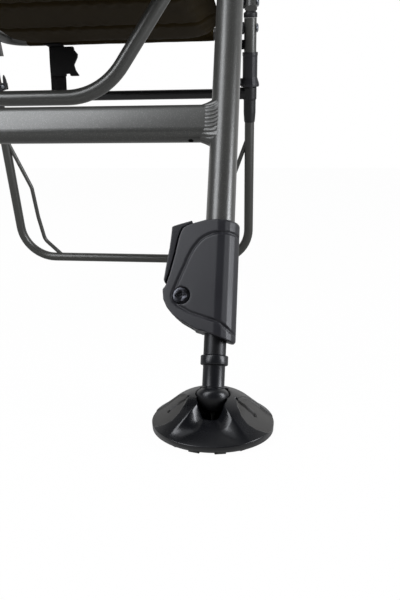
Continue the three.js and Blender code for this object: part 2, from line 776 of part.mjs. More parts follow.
// The rear clamp: a short flared sleeve with a lug that holds a small lever
const rearClampHeight = 57.7;
const rearClampStep = 9.7;
const rearTubeSeat = 0.5;
const flareRadius = 17;
const flareHeight = 4.7;
const flareTaper = 15.7;
const rearSleeveRadius = 13.4;
const rearRingRadius = 13.9;
const rearRingHeight = 5.5;
const lugReach = 24;
const lugThickness = 13;
const lugFoot = 2;
const lugTop = 14;
const lugSlot = 5;
const lugSlotReach = 14.2;
const rearLeverThickness = 4.4;
const rearPinReach = 19.5;
const rearPinHeight = 8;
const rearPinRadius = 1.8;
const rearPinHeadRadius = 3.2;
const rearPinHeadHeight = 1.2;
const rearLeverReach = 25;
const rearLeverTop = 29;
const rearLeverShares = [
  [0.6, 0.28], [0.64, 0.16], [0.8, 0.11], [0.92, 0.16], [1, 0.3], [1, 0.62], [0.94, 0.86], [0.86, 1], [0.78, 0.84],
  [0.74, 0.5],
];

const atRearPin = (form) => form.translate(-rearPinReach, 0, rearPinHeight);

function rearTube() {
  const foot = rearClampFoot + rearClampStep + rearTubeSeat;
  const bore = groundBarRadius + boreGap;
  return cut(
    turnedZ([
      [0, rearBoreTop],
      [bore, rearBoreTop],
      [bore, foot],
      [rearTubeRadius, foot],
      [rearTubeRadius, rearTubeTop],
      [0, rearTubeTop],
    ], slimSides),
    throughHole(0, rearTubeRadius).translate(0, 0, rearPivotReach),
  );
}

function rearClamp() {
  const top = rearClampHeight;
  const shell = turnedZ([
    [groundBarRadius + slideGap, 0],
    [flareRadius, 0],
    [flareRadius, flareHeight],
    [rearSleeveRadius, flareTaper],
    [rearSleeveRadius, top - rearRingHeight],
    [rearRingRadius, top - rearRingHeight],
    [rearRingRadius, top],
    [rearTubeRadius + weldGap, top],
    [rearTubeRadius + weldGap, rearClampStep],
    [groundBarRadius + slideGap, rearClampStep],
    [groundBarRadius + slideGap, 0],
  ]);
  const lug = block([-lugReach, -rearTubeRadius], [-lugThickness / 2, lugThickness / 2], [lugFoot, lugTop]);
  const bore = turnedZ(rodOutline(rearTubeRadius + weldGap, rearClampStep, top));
  const lowBore = turnedZ(rodOutline(groundBarRadius + slideGap, -overrun, top));
  const slot = block(
    [-lugReach - overrun, -lugSlotReach],
    [-lugSlot / 2, lugSlot / 2],
    [-overrun, top - 2 * rearRingHeight],
  );
  return cut(join(shell, cut(lug, bore, lowBore)), slot, atRearPin(turnedY(
    rodOutline(rearPinRadius + weldGap, -lugThickness, lugThickness),
  )));
}

function rearLever() {
  const half = rearLeverThickness / 2;
  const outline = rearLeverShares.map(([a, b]) => [-a * rearLeverReach, b * rearLeverTop]);
  return cut(
    facePlate(outline, -half, half),
    atRearPin(turnedY(rodOutline(rearPinRadius + weldGap, -lugThickness, lugThickness))),
  );
}

function rearPin() {
  const face = lugThickness / 2 + weldGap;
  return atRearPin(turnedY([
    [0, -face - rearPinHeadHeight],
    [rearPinHeadRadius, -face - rearPinHeadHeight],
    [rearPinHeadRadius, -face],
    [rearPinRadius, -face],
    [rearPinRadius, face],
    [rearPinHeadRadius, face],
    [rearPinHeadRadius, face + rearPinHeadHeight],
    [0, face + rearPinHeadHeight],
  ]));
}

// The tee on each arm of the U, which carries the rear crossbar, with a taper down the arm
const teeGap = 1.3;
const teeLength = 62;
const teeTaper = 17;
const teeTop = rearClampFoot - teeGap;
const teeHeight = 21;
const teeRadius = 12.6;
const teeTaperFoot = teeTop - teeLength;
const teeTaperKnee = teeTaperFoot + teeTaper;
const teeTaperRadius = 11.3;
const teeFootRadius = 10;
const teeBossReach = 34;
const teeBossRadius = 10.6;
const teeSocketReach = 14;
const rearCrossbarReach = teeTop - teeBossRadius;

function tee(side) {
  const inner = groundBarRadius + weldGap;
  const body = turnedZ([
    [0, teeTaperFoot],
    [teeFootRadius, teeTaperFoot],
    [teeTaperRadius, teeTaperKnee],
    [teeTaperRadius, teeTop - teeHeight],
    [teeRadius, teeTop - teeHeight],
    [teeRadius, teeTop],
    [0, teeTop],
  ]);
  const boss = turnedX(rodOutline(teeBossRadius, 0, -side * teeBossReach), slimSides);
  const socket = turnedX(
    rodOutline(rearCrossbarRadius + weldGap, -side * teeSocketReach, -side * (teeBossReach + overrun)),
    slimSides,
  );
  return cut(
    join(body, boss.translate(0, 0, rearCrossbarReach)),
    turnedZ(rodOutline(inner, teeTaperFoot - overrun, teeTop + overrun)),
    socket.translate(0, 0, rearCrossbarReach),
  );
}

const groundRoute = () => bentRoute([
  [-halfRear, 0, groundArmTop],
  [-halfRear, 0, 0],
  [halfRear, 0, 0],
  [halfRear, 0, groundArmTop],
], groundBarBend);

place(rearFrame, 'ground_bar', bentBar(groundRoute(), groundBarRadius), darkSteel);

const rearBarEnd = halfRear - teeSocketReach - weldGap;
place(rearFrame, 'rear_crossbar', turnedX(rodOutline(rearCrossbarRadius, -rearBarEnd, rearBarEnd), slimSides)
  .translate(0, 0, rearCrossbarReach), darkSteel);

// A thin stay inside each corner of the U, welded to the arm above and to the ground bar below
const stayBelowTee = 21;
const stayTopHeight = teeTaperFoot - stayBelowTee;
const stayKneeInset = 39.5;
const stayKneeHeight = 155;
const stayLowInset = 43;
const stayLowHeight = 92;
const stayHeelInset = 50;
const stayHeelHeight = 40;
const stayFootInset = 84;
const stayBend = 26;

function stay(side) {
  const route = bentRoute([
    [side * halfRear, 0, stayTopHeight],
    [side * (halfRear - stayKneeInset), 0, stayKneeHeight],
    [side * (halfRear - stayLowInset), 0, stayLowHeight],
    [side * (halfRear - stayHeelInset), 0, stayHeelHeight],
    [side * (halfRear - stayFootInset), 0, 0],
  ], stayBend);
  return cut(bentBar(route, stayRodRadius), bentBar(groundRoute(), groundBarRadius + weldGap));
}

for (const [name, side] of sides) {
  const leg = turnedGroup(rearFrame, [side * halfRear, 0, 0]);
  const clamp = turnedGroup(leg, [0, 0, rearClampFoot], [0, 0, side < 0 ? Math.PI : 0]);
  place(leg, `rear_leg_${name}`, rearTube(), coatedSteel);
  place(leg, `rear_leg_cap_${name}`, tubeCap(rearTubeRadius, rearTubeTop, rearCapHeight), clampPlastic);
  place(clamp, `rear_clamp_${name}`, rearClamp(), clampPlastic);
  place(clamp, `rear_clamp_lever_${name}`, rearLever(), clampPlastic);
  place(clamp, `rear_clamp_pin_${name}`, rearPin(), zincSteel);
  place(leg, `rear_tee_${name}`, tee(side), blackNylon);
  place(rearFrame, `rear_stay_${name}`, stay(side), darkSteel);
}

// The backrest: an arched tube that leans back from its pivots, a bowed crossbar and a pad
const backHeight = 540;
const backBendHeight = 330;
const backSweep = 30;
const backArchBend = 90;
const backTubeEnd = 12;
const backPadFoot = 62;
const backPadRise = 24;
const backPadSag = 13;
const backPadCornerInset = 23.4;
const backChannelShares = [-0.5, 0, 0.5];
const backBarHeight = 74;
const backBarBow = 27;
const backBarInset = 40;
const backBarFlat = rearTrack - 2 * backBarInset;
const backBarBend = 30;

const backPlace = [0, rearPivot[0] + backPivotSetback, rearPivot[1] + backPivotRise];
const back = turnedGroup(chair, backPlace, [-backLean, 0, 0]);

place(back, 'back_frame', cut(
  bentBar(bentRoute([
    [-halfRear, 0, -backTubeEnd],
    [-halfRear, 0, backBendHeight],
    [-halfRear, backSweep, backHeight],
    [halfRear, backSweep, backHeight],
    [halfRear, 0, backBendHeight],
    [halfRear, 0, -backTubeEnd],
  ], backArchBend), backTubeRadius),
  throughHole(halfRear, backTubeRadius),
), coatedSteel);

const backSaddle = (side) => turnedZ(rodOutline(backTubeRadius + weldGap, 0, 2 * backBarHeight))
  .translate(side * halfRear, 0, 0);

place(back, 'back_crossbar', cut(
  bentBar(bentRoute([
    [-halfRear, 0, backBarHeight],
    [-backBarFlat / 2, backBarBow, backBarHeight],
    [backBarFlat / 2, backBarBow, backBarHeight],
    [halfRear, 0, backBarHeight],
  ], backBarBend), backCrossbarRadius),
  backSaddle(-1),
  backSaddle(1),
), coatedSteel);

// The pad is made lying down, its head end at +Y, and follows the sweep of the frame
function backPad() {
  const top = backHeight - backTubeRadius - padGap;
  const middle = (top + backPadFoot) / 2;
  const sweep = (along) => (backSweep * Math.max(0, middle + along - backBendHeight)) / (backHeight - backBendHeight);
  return pad({
    width: rearTrack - 2 * (backTubeRadius + padGap),
    depth: top - backPadFoot,
    rise: backPadSag,
    sag: backPadRise,
    cornerInset: backPadCornerInset,
    channelShares: backChannelShares,
    bow: sweep,
  }).translate(0, middle, 0).applyMatrix4(new THREE.Matrix4().makeBasis(
    new THREE.Vector3(-1, 0, 0),
    new THREE.Vector3(0, 0, 1),
    new THREE.Vector3(0, 1, 0),
  ));
}

place(back, 'back_pad', backPad(), seatCloth);

// A closing strap that hangs behind the seat's rear bar, with its buckle
const strapSetWidth = 28;
const strapThickness = 2;
const strapFromMiddle = 120;
const strapRun = 22;
const strapPast = 4.5;
const strapDrop = 102;
const strapSeat = 0.9;
const buckleThickness = 7;
const buckleTop = 3;
const buckleHeight = 52;
const buckleReach = 38;
const buckleShares = [
  [-0.42, 0], [0.8, 0], [0.84, -0.12], [1, -0.25], [0.98, -0.36], [0.79, -0.62], [0.86, -0.8],
  [1.03, -0.98], [0.98, -1], [0.6, -1], [0.57, -0.92], [0.36, -0.92], [0.36, -1], [-0.42, -1],
];

const barPlace = [
  frontPivot[0] + seatRear * Math.cos(seatSlope),
  frontPivot[1] - seatRear * Math.sin(seatSlope) - seatTubeRadius - strapSeat,
];
const strapGroup = turnedGroup(chair, [-strapFromMiddle, ...barPlace]);
place(strapGroup, 'closing_strap', sidePlate([
  [-strapRun, 0],
  [strapPast - strapThickness / 2, 0],
  [strapPast, -strapThickness / 2],
  [strapPast, -strapDrop],
  [strapPast - strapThickness, -strapDrop],
  [strapPast - strapThickness, -strapThickness],
  [-strapRun, -strapThickness],
], -strapSetWidth / 2, strapSetWidth / 2), blackWebbing);

const buckleFar = strapPast - strapThickness - weldGap;
place(strapGroup, 'strap_buckle', facePlate(
  shared(buckleShares, buckleReach, buckleHeight).map(([a, b]) => [a, b - buckleTop]),
  buckleFar - buckleThickness,
  buckleFar,
), clampPlastic);

// The origin goes to the middle of the chair's box, on the ground
const box = new THREE.Box3().setFromObject(chair);
chair.position.y = -(box.min.y + box.max.y) / 2;

export default chair;
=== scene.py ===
# %% [markdown]
# A folding carp fishing chair, seen as a product photograph sees it: close to the front
# right leg, with the rest of the chair out of the frame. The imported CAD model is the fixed
# frame. This lesson dresses it: it sets the camera and the light, makes the finishes, and
# then gives each piece the detail that a maker puts on it.

# %% Load the frame
import json
import math

import bmesh
import bpy
import numpy as np
from mathutils import Matrix, Vector


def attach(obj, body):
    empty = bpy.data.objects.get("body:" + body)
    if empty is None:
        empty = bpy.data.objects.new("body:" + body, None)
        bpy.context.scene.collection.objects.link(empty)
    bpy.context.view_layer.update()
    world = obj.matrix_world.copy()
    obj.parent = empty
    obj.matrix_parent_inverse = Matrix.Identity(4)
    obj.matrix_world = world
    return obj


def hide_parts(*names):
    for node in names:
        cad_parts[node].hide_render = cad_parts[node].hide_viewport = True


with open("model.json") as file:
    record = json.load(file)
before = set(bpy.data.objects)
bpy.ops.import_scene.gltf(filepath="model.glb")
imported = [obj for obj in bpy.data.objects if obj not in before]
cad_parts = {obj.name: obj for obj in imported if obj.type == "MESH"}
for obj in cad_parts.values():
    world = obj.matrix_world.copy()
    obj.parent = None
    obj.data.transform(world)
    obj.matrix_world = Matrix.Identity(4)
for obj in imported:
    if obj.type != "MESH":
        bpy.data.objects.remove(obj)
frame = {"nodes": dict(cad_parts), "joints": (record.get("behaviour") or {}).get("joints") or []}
nodes = frame["nodes"]
joints = {joint["name"]: joint for joint in frame["joints"]}
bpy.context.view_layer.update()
MM = 0.001
SIDES = {"left": -1, "right": 1}

# %% [markdown]
# Most of the chair hangs on four leaning frames: the front legs, the rear legs, the seat and
# the backrest. A local frame with Z along the tube lets each piece be drawn upright, in the
# sizes of its own drawing, and then be set in place by one matrix. The joints of the packed
# model say where the frames are, so nothing is measured twice.

# %% Local frames from the joints
ACROSS = Vector((1, 0, 0))


def place_along(origin, along):
    """A matrix with X across the chair and Z along the given direction."""
    up = Vector(along).normalized()
    back = up.cross(ACROSS)
    rotation = Matrix((ACROSS, back, up)).transposed().to_4x4()
    return Matrix.Translation(Vector(origin)) @ rotation


def shifted(matrix, x=0.0, y=0.0, z=0.0):
    """The same frame, moved in its own directions by millimetres."""
    return matrix @ Matrix.Translation(Vector((x, y, z)) * MM)


LEG_UP = Vector(joints["front_slide_right"]["axis"])
BALL_REACH = 31
leg_frame = {}
for side in SIDES:
    ball = Vector(joints[f"foot_pitch_{side}"]["pos_m"])
    leg_frame[side] = place_along(ball - LEG_UP * (BALL_REACH * MM), LEG_UP)

REAR_UP = -Vector(joints["rear_slide"]["axis"])
REAR_REACH = 443
rear_pivot = Vector(joints["rear_fold"]["pos_m"])
rear_frame = place_along(rear_pivot - REAR_UP * (REAR_REACH * MM), REAR_UP)

front_pivot = Vector(joints["front_fold"]["pos_m"])
seat_back = (rear_pivot - front_pivot).normalized()
seat_frame = place_along(front_pivot, ACROSS.cross(seat_back))
SEAT_SPAN = (rear_pivot - front_pivot).length / MM

BACK_LEAN = math.radians(18)
back_pivot = Vector(joints["back_fold"]["pos_m"])
back_frame = place_along(back_pivot, (0, math.sin(BACK_LEAN), math.cos(BACK_LEAN)))
print("seat span", round(SEAT_SPAN, 1), "mm; leg starts at", leg_frame["right"].translation)

# %% [markdown]
# The photograph was taken from low in front of the leg, a little to the right, with the
# camera tipped down. The lens and the place come from fitting the tube's edges, the foot's
# ellipse, the crossbar and the rear frame. The sensor's 36 mm lie along the picture's long
# side, so the focal length in pixels turns into millimetres by 36 / 600.

# %% Camera
FOCAL_PX = 560
LONG_SIDE_PX = 600
SENSOR = 36
CAMERA_PLACE = Vector((0.2872, -0.8384, 0.2192))
PITCH = math.radians(14.24)
YAW = math.radians(7.0)
ROLL = math.radians(-0.19)


def add_object(name, data):
    """A new object in the scene."""
    added = bpy.data.objects.new(name, data)
    bpy.context.scene.collection.objects.link(added)
    return added


forward = Vector((
    -math.sin(YAW) * math.cos(PITCH),
    math.cos(YAW) * math.cos(PITCH),
    -math.sin(PITCH),
))
level = Vector((math.cos(YAW), math.sin(YAW), 0))
upright = level.cross(forward)
right = math.cos(ROLL) * level + math.sin(ROLL) * upright
top = -math.sin(ROLL) * level + math.cos(ROLL) * upright

camera_data = bpy.data.cameras.new("camera")
camera_data.sensor_width = SENSOR
camera_data.lens = FOCAL_PX / LONG_SIDE_PX * SENSOR
camera_data.clip_start = 0.01
camera = add_object("camera", camera_data)
facing = Matrix((right, top, -forward)).transposed().to_4x4()
camera.matrix_world = Matrix.Translation(CAMERA_PLACE) @ facing
bpy.context.scene.camera = camera
bpy.context.scene.view_settings.view_transform = "Standard"
print("lens", round(camera_data.lens, 2), "mm")

# %% [markdown]
# Every colour is written as the hex code that a screen shows, and one function turns it to
# the linear values that the renderer works in. One more function adds a node, sets it and
# links it, so that each material below reads as a short list of what it is made of.

# %% Colour and node helpers
def srgb(code, alpha=1.0):
    """A hex colour as linear red, green, blue and alpha."""
    parts = [int(code[i:i + 2], 16) / 255 for i in (1, 3, 5)]
    linear = [c / 12.92 if c <= 0.04045 else ((c + 0.055) / 1.055) ** 2.4 for c in parts]
    return (*linear, alpha)


def add_node(tree, kind, inputs=None, **settings):
    """Adds a node, sets its settings, and sets or links its inputs."""
    node = tree.nodes.new(kind)
    for key, value in settings.items():
        setattr(node, key, value)
    for key, value in (inputs or {}).items():
        if isinstance(value, bpy.types.NodeSocket):
            tree.links.new(value, node.inputs[key])
        else:
            node.inputs[key].default_value = value
    return node


def new_finish(name):
    """An empty material and its tree."""
    finish = bpy.data.materials.new(name)
    finish.use_nodes = True
    finish.node_tree.nodes.clear()
    return finish, finish.node_tree


# %% [markdown]
# The studio is white behind the chair and dark behind the camera. That is what gives a
# round tube its look: bright stripes from the soft boxes at each side, and a dark middle
# where it mirrors the unlit room. The world is plain white for the camera and shades off
# toward the front in reflections and for the fill light.

# %% World and backdrop
FILL_FROM = -0.7
FILL_TO = 0.9
FILL_LOW = 0.06
FILL_HIGH = 0.62
MIRROR_FROM = -0.12
MIRROR_TO = 0.95
MIRROR_LOW = 0.04
MIRROR_HIGH = 0.75

world = bpy.data.worlds.new("studio")
bpy.context.scene.world = world
world.use_nodes = True
tree = world.node_tree
tree.nodes.clear()
rays = add_node(tree, "ShaderNodeLightPath")
direction = add_node(tree, "ShaderNodeTexCoord")
split = add_node(tree, "ShaderNodeSeparateXYZ", {"Vector": direction.outputs["Generated"]})
fill = add_node(tree, "ShaderNodeMapRange", {
    "Value": split.outputs["Y"], "From Min": FILL_FROM, "From Max": FILL_TO,
    "To Min": FILL_LOW, "To Max": FILL_HIGH,
}, interpolation_type="SMOOTHSTEP")
mirrored = add_node(tree, "ShaderNodeMapRange", {
    "Value": split.outputs["Y"], "From Min": MIRROR_FROM, "From Max": MIRROR_TO,
    "To Min": MIRROR_LOW, "To Max": MIRROR_HIGH,
}, interpolation_type="SMOOTHSTEP")
shade = add_node(tree, "ShaderNodeMix", {
    "Factor": rays.outputs["Is Glossy Ray"], 2: fill.outputs["Result"], 3: mirrored.outputs["Result"],
})
seen = add_node(tree, "ShaderNodeMath", {
    0: rays.outputs["Is Camera Ray"], 1: rays.outputs["Is Transmission Ray"],
}, operation="MAXIMUM")
strength = add_node(tree, "ShaderNodeMix", {
    "Factor": seen.outputs["Value"], 2: shade.outputs[0], 3: 1.0,
})
backdrop = add_node(tree, "ShaderNodeBackground", {
    "Color": srgb("#ffffff"), "Strength": strength.outputs[0],
})
add_node(tree, "ShaderNodeOutputWorld", {"Surface": backdrop.outputs["Background"]})

# %% Floor
FLOOR_REACH = 12.0
FLOOR_DROP = 0.0004
FLOOR_WHITE_SHARE = 0.98
FLOOR_MIRROR_SHARE = 0.3

floor_mesh = bpy.data.meshes.new("floor")
floor_corners = [(-1, -1), (1, -1), (1, 1), (-1, 1)]
floor_mesh.from_pydata(
    [(x * FLOOR_REACH, y * FLOOR_REACH, -FLOOR_DROP) for x, y in floor_corners], [], [(0, 1, 2, 3)],
)
floor = add_object("floor", floor_mesh)

floor_paint, tree = new_finish("floor_matt_white_paint")
rays = add_node(tree, "ShaderNodeLightPath")
tone = add_node(tree, "ShaderNodeMix", {
    0: rays.outputs["Is Camera Ray"], 6: srgb("#7d7d7d"), 7: srgb("#f6f6f6"),
}, data_type="RGBA")
paint = add_node(tree, "ShaderNodeBsdfDiffuse", {"Color": tone.outputs[2]})
glow = add_node(tree, "ShaderNodeEmission", {"Color": srgb("#ffffff"), "Strength": 1.0})
mirror_share = add_node(tree, "ShaderNodeMath", {
    0: rays.outputs["Is Glossy Ray"], 1: FLOOR_MIRROR_SHARE,
}, operation="MULTIPLY")
share = add_node(tree, "ShaderNodeMath", {
    0: rays.outputs["Is Camera Ray"], 1: FLOOR_WHITE_SHARE, 2: mirror_share.outputs["Value"],
}, operation="MULTIPLY_ADD")
mixed = add_node(tree, "ShaderNodeMixShader", {
    0: share.outputs["Value"], 1: paint.outputs["BSDF"], 2: glow.outputs["Emission"],
})
add_node(tree, "ShaderNodeOutputMaterial", {"Surface": mixed.outputs["Shader"]})
floor_mesh.materials.append(floor_paint)

# %% [markdown]
# Two large soft boxes stand in front of the chair: one high at the left, behind the camera,
# and one at the right, a little above the seat. Their size sets how soft a highlight is, and
# the gap between them keeps the dark line down the middle of each tube. A weaker one
# overhead opens up the seat. It stands a little forward, so the foot does not mirror it.

# %% Soft boxes
SOFT_BOX_TINT = (0.93, 0.95, 1.0)


def soft_box(name, place, aim, size, power):
    """An area lamp that points at a target."""
    data = bpy.data.lights.new(name, "AREA")
    data.shape = "RECTANGLE"
    data.size, data.size_y = size
    data.energy = power
    data.color = SOFT_BOX_TINT
    lamp = add_object(name, data)
    lamp.location = place
    lamp.rotation_euler = (Vector(aim) - Vector(place)).to_track_quat("-Z", "Y").to_euler()


BOXES = {
    "left": {"place": (-0.95, -1.3, 1.3), "aim": (0.2, -0.35, 0.25), "size": (0.9, 1.9), "power": 32},
    "right": {"place": (1.95, -0.6, 0.6), "aim": (0.24, -0.35, 0.2), "size": (0.7, 1.2), "power": 30},
    "top": {"place": (-0.3, -0.7, 2.8), "aim": (0.0, 0.0, 0.4), "size": (1.6, 1.6), "power": 7},
}
for name, box in BOXES.items():
    soft_box(f"soft_box_{name}", **box)

# %% [markdown]
# The steel of this chair is powder coated: dry paint is blown on and baked, so it comes out
# satin, a little rippled like orange peel, and full of tiny pale flecks. The real grain is a
# few hundredths of a millimetre, too fine for the render, so both patterns are drawn about
# a millimetre across. Object coordinates are in metres, so a scale is one over a real size.

# %% Powder-coated steel
PEEL_SIZE = 1.6 * MM
FLECK_SIZE = 1.1 * MM


def powder_coated_steel(name, body_hex, fleck_hex, roughness, coat_weight=0.5):
    """Baked powder paint on steel tube."""
    finish, tree = new_finish(name)
    place = add_node(tree, "ShaderNodeTexCoord").outputs["Object"]
    flecks = add_node(tree, "ShaderNodeTexVoronoi", {"Vector": place, "Scale": 1 / FLECK_SIZE})
    bright = add_node(tree, "ShaderNodeMapRange", {
        "Value": flecks.outputs["Distance"], "From Min": 0.1, "From Max": 0.34,
        "To Min": 0.5, "To Max": 0.0,
    })
    patches = add_node(tree, "ShaderNodeTexNoise", {"Vector": place, "Scale": 9.0, "Detail": 3.0})
    body = add_node(tree, "ShaderNodeMix", {
        0: bright.outputs["Result"], 6: srgb(body_hex), 7: srgb(fleck_hex),
    }, data_type="RGBA")
    rough = add_node(tree, "ShaderNodeMapRange", {
        "Value": patches.outputs["Fac"], "From Min": 0.3, "From Max": 0.7,
        "To Min": roughness[0], "To Max": roughness[1],
    })
    peel = add_node(tree, "ShaderNodeTexNoise", {
        "Vector": place, "Scale": 1 / PEEL_SIZE, "Detail": 1.0,
    })
    bump = add_node(tree, "ShaderNodeBump", {
        "Height": peel.outputs["Fac"], "Strength": 0.16, "Distance": 0.12 * MM,
    })
    shader = add_node(tree, "ShaderNodeBsdfPrincipled", {
        "Base Color": body.outputs[2], "Roughness": rough.outputs["Result"], "Metallic": 0.4,
        "IOR": 1.5, "Coat Weight": coat_weight, "Coat Roughness": 0.3,
        "Normal": bump.outputs["Normal"],
    })
    add_node(tree, "ShaderNodeOutputMaterial", {"Surface": shader.outputs["BSDF"]})
    return finish


grey_coat = powder_coated_steel("powder_coated_steel_grey", "#4b4b48", "#8a8a86", (0.28, 0.36))
dark_coat = powder_coated_steel("powder_coated_steel_dark", "#474743", "#6e6e69", (0.36, 0.46))
charcoal_coat = powder_coated_steel(
    "powder_coated_steel_charcoal", "#161618", "#29292c", (0.42, 0.5), 0.15,
)
# This near-black copy of the coat is painted shade on the rear crossbar, which lies in the shade under the
# seat and is drawn darker than the grey tubes for it; the hinge plates take the same coat.
black_coat_with_painted_shade = powder_coated_steel("powder_coated_steel_black_with_painted_shade", "#121212", "#2c2c2c", (0.42, 0.52))
print("powder coats:", grey_coat.name, dark_coat.name, black_coat_with_painted_shade.name)

# %% [markdown]
# The clamps, caps and tees are moulded plastic. A moulding copies its mould: a spark-eroded
# mould gives the clamps a fine even grain and a satin look, and a polished one gives the
# foot a wet gloss. So both are the same recipe with another grain and roughness.

# %% Moulded plastics
PALER_SHARE = 1.35


def moulded_plastic(name, body_hex, grain, depth, roughness, index=1.49):
    """Injection-moulded plastic, with the grain that its mould was given, in millimetres."""
    finish, tree = new_finish(name)
    place = add_node(tree, "ShaderNodeTexCoord").outputs["Object"]
    flow = add_node(tree, "ShaderNodeTexNoise", {"Vector": place, "Scale": 22.0, "Detail": 4.0})
    rough = add_node(tree, "ShaderNodeMapRange", {
        "Value": flow.outputs["Fac"], "From Min": 0.3, "From Max": 0.7,
        "To Min": roughness[0], "To Max": roughness[1],
    })
    paler = [PALER_SHARE * c for c in srgb(body_hex)[:3]] + [1.0]
    tint = add_node(tree, "ShaderNodeMix", {
        0: flow.outputs["Fac"], 6: srgb(body_hex), 7: paler,
    }, data_type="RGBA")
    texture = add_node(tree, "ShaderNodeTexNoise", {
        "Vector": place, "Scale": 1 / (grain * MM), "Detail": 2.0,
    })
    bump = add_node(tree, "ShaderNodeBump", {
        "Height": texture.outputs["Fac"], "Strength": 0.2, "Distance": depth * MM,
    })
    shader = add_node(tree, "ShaderNodeBsdfPrincipled", {
        "Base Color": tint.outputs[2], "Roughness": rough.outputs["Result"], "IOR": index,
        "Normal": bump.outputs["Normal"],
    })
    add_node(tree, "ShaderNodeOutputMaterial", {"Surface": shader.outputs["BSDF"]})
    return finish


clamp_plastic = moulded_plastic("glass_filled_nylon_satin", "#1b1b1f", 0.9, 0.09, (0.38, 0.48))
cap_plastic = moulded_plastic("polyethylene_moulded_black", "#0e0e0f", 1.1, 0.08, (0.45, 0.55))
foot_gloss = moulded_plastic("polypropylene_polished_mould", "#0c0d10", 6, 0.03, (0.24, 0.32))
foot_satin = moulded_plastic("polypropylene_satin_mould", "#363533", 1.0, 0.08, (0.5, 0.6))
stem_plastic = moulded_plastic("acetal_moulded_black", "#101114", 4, 0.03, (0.3, 0.36))
# The buckle's plastic is partly its own black and partly painted shade: it is darker and duller than the
# other black plastic, for the shade it hangs in under the seat.
buckle_plastic_with_painted_shade = moulded_plastic("polypropylene_matt_black_with_painted_shade", "#060505", 0.8, 0.1, (0.66, 0.76), 1.35)
print("plastics:", clamp_plastic.name, foot_gloss.name, foot_satin.name, stem_plastic.name)

# %% [markdown]
# Rivets are zinc plated, which leaves a dull blue-grey metal with a cloudy crystal pattern.
# The clamp's screw is black oxide, a thin dark film on bare steel that keeps a metal's
# sheen. Both are metals, so the colour tints the reflection and the index stays default.

# %% Plated fasteners
SPANGLE_SIZE = 2.5 * MM


def plated_steel(name, low_hex, high_hex, roughness):
    """Bare steel under a thin plating, with its cloudy spangle."""
    finish, tree = new_finish(name)
    place = add_node(tree, "ShaderNodeTexCoord").outputs["Object"]
    cloud = add_node(tree, "ShaderNodeTexNoise", {
        "Vector": place, "Scale": 1 / SPANGLE_SIZE, "Detail": 3.0,
    })
    tint = add_node(tree, "ShaderNodeMix", {
        0: cloud.outputs["Fac"], 6: srgb(low_hex), 7: srgb(high_hex),
    }, data_type="RGBA")
    rough = add_node(tree, "ShaderNodeMapRange", {
        "Value": cloud.outputs["Fac"], "To Min": roughness[0], "To Max": roughness[1],
    })
    shader = add_node(tree, "ShaderNodeBsdfPrincipled", {
        "Base Color": tint.outputs[2], "Roughness": rough.outputs["Result"], "Metallic": 1.0,
    })
    add_node(tree, "ShaderNodeOutputMaterial", {"Surface": shader.outputs["BSDF"]})
    return finish


zinc = plated_steel("zinc_plated_steel", "#6d7075", "#a2a5aa", (0.28, 0.46))
black_oxide = plated_steel("black_oxide_steel", "#2c2c2f", "#5a5b60", (0.2, 0.34))

# %% [markdown]
# The cover is woven polyester, a plain weave in which warp and weft pass over each other in
# turn. Two sets of bands make the threads and a checker says which one is on top. The
# threads of such a cloth are half a millimetre apart, and they are drawn coarser here, so
# that they show. The pattern reads the piece's UV map, laid out in metres, so it follows
# the cloth over its crown and round the bars.

# %% Woven polyester
THREAD_SPACING = 1.5 * MM
THREAD_RELIEF = 0.25 * MM
WAVE_PERIOD_AT_ONE = math.pi / 10


def woven_polyester(name, deep_hex, thread_hex, spacing, roughness):
    """A plain weave, its threads as wide as the spacing."""
    finish, tree = new_finish(name)
    layout = add_node(tree, "ShaderNodeUVMap", uv_map="cloth_metres").outputs["UV"]
    place = add_node(tree, "ShaderNodeTexCoord").outputs["Object"]
    band = WAVE_PERIOD_AT_ONE / spacing
    warp = add_node(tree, "ShaderNodeTexWave", {"Vector": layout, "Scale": band}, bands_direction="X")
    weft = add_node(tree, "ShaderNodeTexWave", {"Vector": layout, "Scale": band}, bands_direction="Y")
    over = add_node(tree, "ShaderNodeTexChecker", {
        "Vector": layout, "Scale": 1 / spacing, "Color1": (1, 1, 1, 1), "Color2": (0, 0, 0, 1),
    })
    height = add_node(tree, "ShaderNodeMix", {
        0: over.outputs["Fac"], 2: warp.outputs["Fac"], 3: weft.outputs["Fac"],
    })
    fade = add_node(tree, "ShaderNodeTexNoise", {"Vector": place, "Scale": 14.0, "Detail": 5.0})
    thread = add_node(tree, "ShaderNodeMix", {
        0: height.outputs[0], 6: srgb(deep_hex), 7: srgb(thread_hex),
    }, data_type="RGBA")
    shift = add_node(tree, "ShaderNodeMapRange", {
        "Value": fade.outputs["Fac"], "To Min": 0.72, "To Max": 1.28,
    })
    colour = add_node(tree, "ShaderNodeVectorMath", {
        0: thread.outputs[2], "Scale": shift.outputs["Result"],
    }, operation="SCALE")
    bump = add_node(tree, "ShaderNodeBump", {
        "Height": height.outputs[0], "Strength": 0.5, "Distance": THREAD_RELIEF,
    })
    shader = add_node(tree, "ShaderNodeBsdfPrincipled", {
        "Base Color": colour.outputs["Vector"], "Roughness": roughness, "IOR": 1.25,
        "Sheen Weight": 0.02, "Sheen Roughness": 0.5, "Normal": bump.outputs["Normal"],
    })
    add_node(tree, "ShaderNodeOutputMaterial", {"Surface": shader.outputs["BSDF"]})
    return finish


seat_cloth = woven_polyester("polyester_canvas_olive", "#221a09", "#392d11", THREAD_SPACING, 0.9)
webbing = woven_polyester("polypropylene_webbing_black", "#080706", "#151112", 2 * THREAD_SPACING, 0.7)
print("cloth drawn at", round(THREAD_SPACING / MM, 2), "mm a thread")

# %% [markdown]
# Each piece ends the same way: its mesh is plain, its object sits at the origin, it has one
# or two finishes, it rides on its body, and the CAD nodes it stands for are hidden. These few
# helpers do that. Where many faces repeat in rows, one more helper strings them from row to
# row of points.

# %% Piece helpers
SHARP_ANGLE = math.radians(34)


